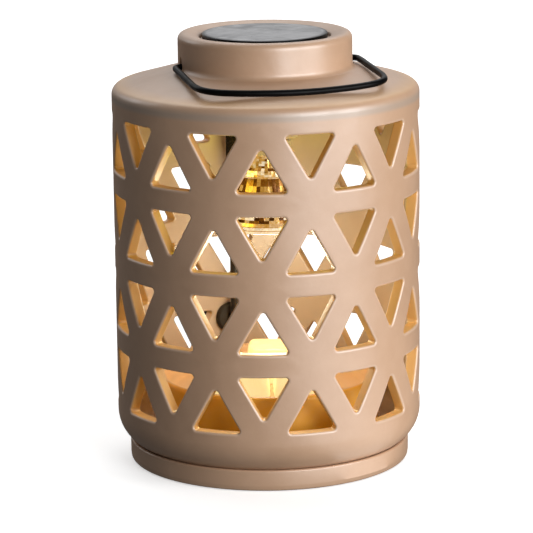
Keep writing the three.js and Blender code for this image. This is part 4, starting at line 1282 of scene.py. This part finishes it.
for s, side in ((-1, "left"), (1, "right")):
    v, f = lathe(rounded([(0, 180.0), (1.5, 180.0, 0.1), (1.5, 185.2, 0.2), (2.45, 185.2, 0.3), (2.45, 187.6, 0.5), (0, 187.6)], 4), 32, (s * 5, 0, 0))
    make("lamp_pin_" + side, v, f, "bulb", M_ZINC, ("bulb_pin_" + side,), sharp=32)


# ------------------------------------------------------------------ wire handle
fall = lambda y: PIN_Z + (y / 67.2) * 5.6
half = [(39, 0), (45, 0), (47.3, 0), (50.2, -1.4), (50.9, -4.6), (51.2, -18), (51.4, -34), (51.3, -44), (49.2, -51.5), (43.6, -57.4), (33.8, -61.8), (20, -65.2), (7, -67)]
loop = [(x + 0.6, y, fall(y)) for x, y in half] + [(-x + 0.6, y, fall(y)) for x, y in reversed(half)]
pts, _ = resample(catmull(loop, 0.8), 1.2)
v, f = tube(pts, 1.72, 20)
make("wire_handle", v, f, "handle", M_WIRE, ("bail_handle",), sharp=None)


# ------------------------------------------------------------------ lead inside, sleeve, bushing and nut
pts, _ = resample(catmull([(0, 74.5, 59), (0, 71.8, 59), (0, 70.7, 59.05), (0, 67.9, 61), (0, 66.1, 65.2), (0, 65.5, 72), (0, 65.5, 89), (0, 65.5, 120), (0, 65.5, 150.5)], 1.2), 1.6)
v, f = tube(pts, CORD_R, 20)
make("lead_inside", v, f, "lantern", M_CORD, ("inner_cord",), sharp=None)
pts, _ = resample(catmull([(0, 65.5, 148.2), (0, 65.5, 168), (0, 65.5, 182), (0, 60, 192), (0, 53, 199.5), (0, 42, 202.8), (0, 33, 204.6), (0, 22.8, 205.4)], 1.2), 1.5)
v, f, at_ = tube(pts, lambda s: 4.3 - 0.25 * math.exp(-s / 1.5), 48, attrs=True)
make("braided_sleeve", v, f, "lantern", M_SLEEVE, ("heat_sleeve",), sharp=None, attrs=at_)

relief = [(0, 72.1)] + rounded([(0, 72.1), (7.6, 72.1, 1.2), (9.0, 73.4, 0.8), (9.0, 75.1, 0.4), (4.75, 75.1), (4.75, 88.0), (5.5, 88.6, 0.4)], 5)[1:]
y = 90.0
while y < 107.5:
    r = 5.4 - (y - 90) * 0.082
    relief += [(r, y), (r, y + 0.9), (r - 0.75, y + 1.15), (r - 0.8, y + 1.75)]
    y += 2.2
relief += [(4.0, 108.6), (3.7, 110.0), (2.9, 110.2), (0, 110.2)]
v, f = lathe(relief, 56, (0, 0, CORD_Z), "y")
bush = make("strain_relief", v, f, "lantern", M_BUSHING, ("cord_bushing",), sharp=34)
R = 8.2
hexo = rounded_loop([(R * math.sin((60 * k) * D2R), R * math.cos((60 * k) * D2R), 0.7) for k in range(6)], 4)
v, f = rings_mesh([[(x * (R - i) / R, y_, CORD_Z + z * (R - i) / R) for x, z in hexo] for y_, i in ((82.9, 0.5), (83.3, 0), (85.8, 0), (86.2, 0.6))])
nut = make("relief_nut", v, f, "lantern", M_PLASTIC, ("bushing_nut",), sharp=30)
boolean(nut, [raw("cutter", *lathe([(0, 80), (5.1, 80), (5.1, 90), (0, 90)], 40, (0, 0, CORD_Z), "y"))])
nut.data.set_sharp_from_angle(angle=30 * D2R)


# ------------------------------------------------------------------ inline switch
SX, SY = 71.1, 173.6
low_levels = [(0.0, 1.2), (0.25, 0.6), (0.9, 0.12), (1.8, 0.0), (5.7, 0.0), (6.0, 0.3)]
v, f = loft_box(rect(58, 24, 10, 10, SX, SY), low_levels)
sw_base = make("switch_lower", v, f, "base", M_PLASTIC, ("switch_base",), sharp=30)
levels = [(6.3, 0.3), (6.6, 0.0), (10.2, 0.0), (11.4, 0.35), (12.3, 1.1), (12.8, 2.1), (13.0, 3.2)]
v, f = loft_box(rect(58, 24, 10, 10, SX, SY), levels)
sw_top = make("switch_upper", v, f, "base", M_PLASTIC, ("switch_cover",), sharp=30)
cut = [rings_mesh([[(x, y, h) for x, y in rect(16, 9.6, 1.0, 4, SX, SY)] for h in (5, 15)])]
for s in (-1, 1):
    cut.append(lathe([(0, 5), (1.7, 5), (1.7, 10.8), (3.2, 10.8), (3.2, 15), (0, 15)], 32, (SX + 20 * s, SY, 0)))
for x0 in (SX - 30, SX + 26.5):
    cut.append(lathe([(0, x0), (3.1, x0), (3.1, x0 + 4.5), (0, x0 + 4.5)], 32, (0, SY, 6.15), "x"))
for c in cut:
    boolean(sw_top, [raw("cutter", *c)])
sw_top.data.set_sharp_from_angle(angle=30 * D2R)
cut = [rings_mesh([[(x, y, h) for x, y in rect(19.2, 12.8, 1.0, 4, SX, SY)] for h in (2.4, 8)])]
for x0 in (SX - 30, SX + 26.5):
    cut.append(lathe([(0, x0), (3.1, x0), (3.1, x0 + 4.5), (0, x0 + 4.5)], 32, (0, SY, 6.15), "x"))
for c in cut:
    boolean(sw_base, [raw("cutter", *c)])
sw_base.data.set_sharp_from_angle(angle=30 * D2R)
for s, side in ((-1, "left"), (1, "right")):
    ob = screw("case_screw_" + side, 2.8, 11.1, 12.6, (SX + 20 * s, SY, 0), "z", "base", M_ZINC, "switch_screw_" + side, (1.2, 2.2), True)
    slot_cut(ob, (SX + 20 * s - 4, SY - 0.4, 12.0), (SX + 20 * s + 4, SY + 0.4, 14))
rock = rounded_loop([(-7.2, 2.6, 0.5), (-5.6, 5.0, 0.7), (-0.3, 3.9, 3), (0.3, 3.9, 3), (5.6, 5.0, 0.7), (7.2, 2.6, 0.5), (4.4, -3.6, 0.5), (-4.4, -3.6, 0.5)], 4)
v, f = loft_box(rock, edge_levels(-4.3, 4.3, 0.5, 3))
t8 = 8 * D2R
v = [(SX + x * math.cos(t8) + zz * math.sin(t8), SY + y_, 8.6 - x * math.sin(t8) + zz * math.cos(t8)) for x, zz, y_ in v]
trun = lathe(rounded([(0, -5.9), (1.3, -5.9, 0.2), (1.3, 5.9, 0.2), (0, 5.9)], 3), 24, (SX, SY, 8.6), "y")
rocker = make("rocker_cap", v, f, "rocker", M_ROCKER, ("switch_rocker",), sharp=30)
pin = raw("cutter", *trun)
boolean(rocker, [pin], "UNION")
rocker.data.set_sharp_from_angle(angle=30 * D2R)


# ------------------------------------------------------------------ plug
PX, PY, PZ = 0.4, 93.95, 7.5


def super_ring(x, a, b, p, n=48):
    out = []
    for k in range(n):
        t = 2 * math.pi * k / n
        c, s = math.cos(t), math.sin(t)
        rr = (abs(c / a) ** p + abs(s / b) ** p) ** (-1 / p)
        out.append((x + PX, PY + rr * c, PZ + rr * s))
    return out


sections = [(-36, 10.9, 6.4, 4.5), (-35.7, 11.5, 7.0, 4.5), (-35.0, 11.9, 7.4, 4.5), (-33, 12, 7.5, 4.5), (-28, 12, 7.5, 4.4), (-23, 11.9, 7.45, 4.0), (-20, 11.5, 7.35, 3.4),
            (-17.5, 10.5, 7.1, 3.0), (-15.6, 9.0, 6.75, 2.5), (-14.2, 7.4, 6.45, 2.1), (-13.0, 6.3, 6.3, 2)]
x = -12.4
while x < -2.4:
    r = 6.1 - (x + 12.4) * 0.185
    sections += [(x, r, r, 2), (x + 0.9, r - 0.1, r - 0.1, 2), (x + 1.15, r - 0.95, r - 0.95, 2), (x + 1.75, r - 1.0, r - 1.0, 2)]
    x += 2.1
sections += [(-1.4, 3.95, 3.95, 2), (-0.3, 3.75, 3.75, 2), (0.0, 3.1, 3.1, 2)]
v, f = rings_mesh([super_ring(*q) for q in sections])
plug = make("plug_shell", v, f, "base", M_PLASTIC, ("plug_body",), sharp=34)
for s, side in ((-1, "left"), (1, "right")):
    y0 = PY + 6.35 * s
    outline_ = rounded_loop([(PX - 52.5, PZ - 3.25, 1.6), (PX - 31.6, PZ - 3.25, 0.2), (PX - 31.6, PZ + 3.25, 0.2), (PX - 52.5, PZ + 3.25, 1.6)], 6)
    v, f = loft_box(outline_, [(-0.75, 0.25), (-0.5, 0.0), (0.5, 0.0), (0.75, 0.25)])
    v = [(a_, y0 + c_, b_) for a_, b_, c_ in v]
    ob = make("plug_pin_" + side, v, f, "base", M_BLADE, ("plug_blade_" + side,), sharp=30)
    boolean(ob, [raw("cutter", *lathe([(0, y0 - 3), (1.55, y0 - 3), (1.55, y0 + 3), (0, y0 + 3)], 28, (PX - 48.2, 0, PZ), "y"))])
    ob.data.set_sharp_from_angle(angle=30 * D2R)


# ------------------------------------------------------------------ CAD nodes that keep their own shape
KEEP = {"clamp_bar": M_ZINC, "holder_bracket": M_ZINC, "contact_left": M_BRASS, "contact_right": M_BRASS}
for node, m in KEEP.items():
    ob = frame["nodes"][node]
    for sl in ob.material_slots:
        sl.material = m


# ------------------------------------------------------------------ floor and light
g = Graph("studio_floor")
g.set(base=lin(250, 250, 250), rough=0.6, spec=0.2, emit=(1.0, 1.0, 1.0), power=0.5)
M_FLOOR = g.mat


def at_view(side, front, height):
    """A place given by the viewer's right, towards the viewer, and up."""
    r = Vector((math.cos(AZ), -math.sin(AZ), 0))
    b = Vector((-math.sin(AZ), -math.cos(AZ), 0))
    return tuple(r * side + b * front + Vector((0, 0, height)))


def sheet(name, corners, mat):
    me = bpy.data.meshes.new(name)
    me.from_pydata(corners, [], [(0, 1, 2, 3)])
    ob = bpy.data.objects.new(name, me)
    scene.collection.objects.link(ob)
    me.materials.append(mat)
    return ob


S = 9.0
floor = sheet("floor", [(-S, -S, 0), (S, -S, 0), (S, S, 0), (-S, S, 0)], M_FLOOR)
floor.visible_diffuse = False  # the sheet sends no light back up, so the side away from the lamps stays dark
floor.visible_glossy = False


def area(name, loc, look, size, size_y, power):
    d = bpy.data.lights.new(name, "AREA")
    d.shape = "RECTANGLE"
    d.size, d.size_y = size, size_y
    d.energy = power
    ob = bpy.data.objects.new(name, d)
    scene.collection.objects.link(ob)
    ob.location = loc
    ob.rotation_euler = (Vector(look) - Vector(loc)).to_track_quat("-Z", "Y").to_euler()
    return ob


def panel(name, azimuth, power):
    """An upright softbox round the object, its azimuth from the camera's side towards the right."""
    a = azimuth * D2R
    area(name, at_view(1.3 * math.sin(a), 1.3 * math.cos(a), 0.41), (0, 0, 0.12), 0.55, 0.8, power)


panel("soft_key", 62, 10.7)
panel("soft_front", 30, 10.8)
low = at_view(0.135, 0.105, 0.003)  # the lit sheet by the foot, on the lamps' side
area("soft_low", low, (low[0], low[1], 1), 0.16, 0.16, 0.054).visible_camera = False
area("soft_rim", at_view(-1.3, -0.9, 1.0), (0, 0, 0.2), 0.8, 0.8, 4.6)
area("soft_back", at_view(0, -1.7, 2.0), at_view(0, -1.4, 0), 2.4, 2.4, 34)
area("backdrop", at_view(0, -2.4, 0.75), at_view(0, 0, 0.2), 2.6, 1.4, 6.5)


def lamp(name, loc, power, radius, color):
    d = bpy.data.lights.new(name, "POINT")
    d.energy = power
    d.shadow_soft_size = radius
    d.color = color
    ob = bpy.data.objects.new(name, d)
    scene.collection.objects.link(ob)
    ob.location = loc
    ob.visible_camera = False


lamp("lamp_fill", (0, 0, 0.1), 0.13, 0.012, (1.0, 0.92, 0.66))
for k in range(3):
    a = (90 + 120 * k) * D2R
    lamp("lamp_spill_%d" % k, (0.04 * math.cos(a), 0.04 * math.sin(a), 0.158), 0.015, 0.01, (1.0, 0.84, 0.08))

world = bpy.data.worlds.new("studio")
scene.world = world
world.use_nodes = True
bg = world.node_tree.nodes["Background"]
bg.inputs["Color"].default_value = (1, 1, 1, 1)
bg.inputs["Strength"].default_value = 0.09
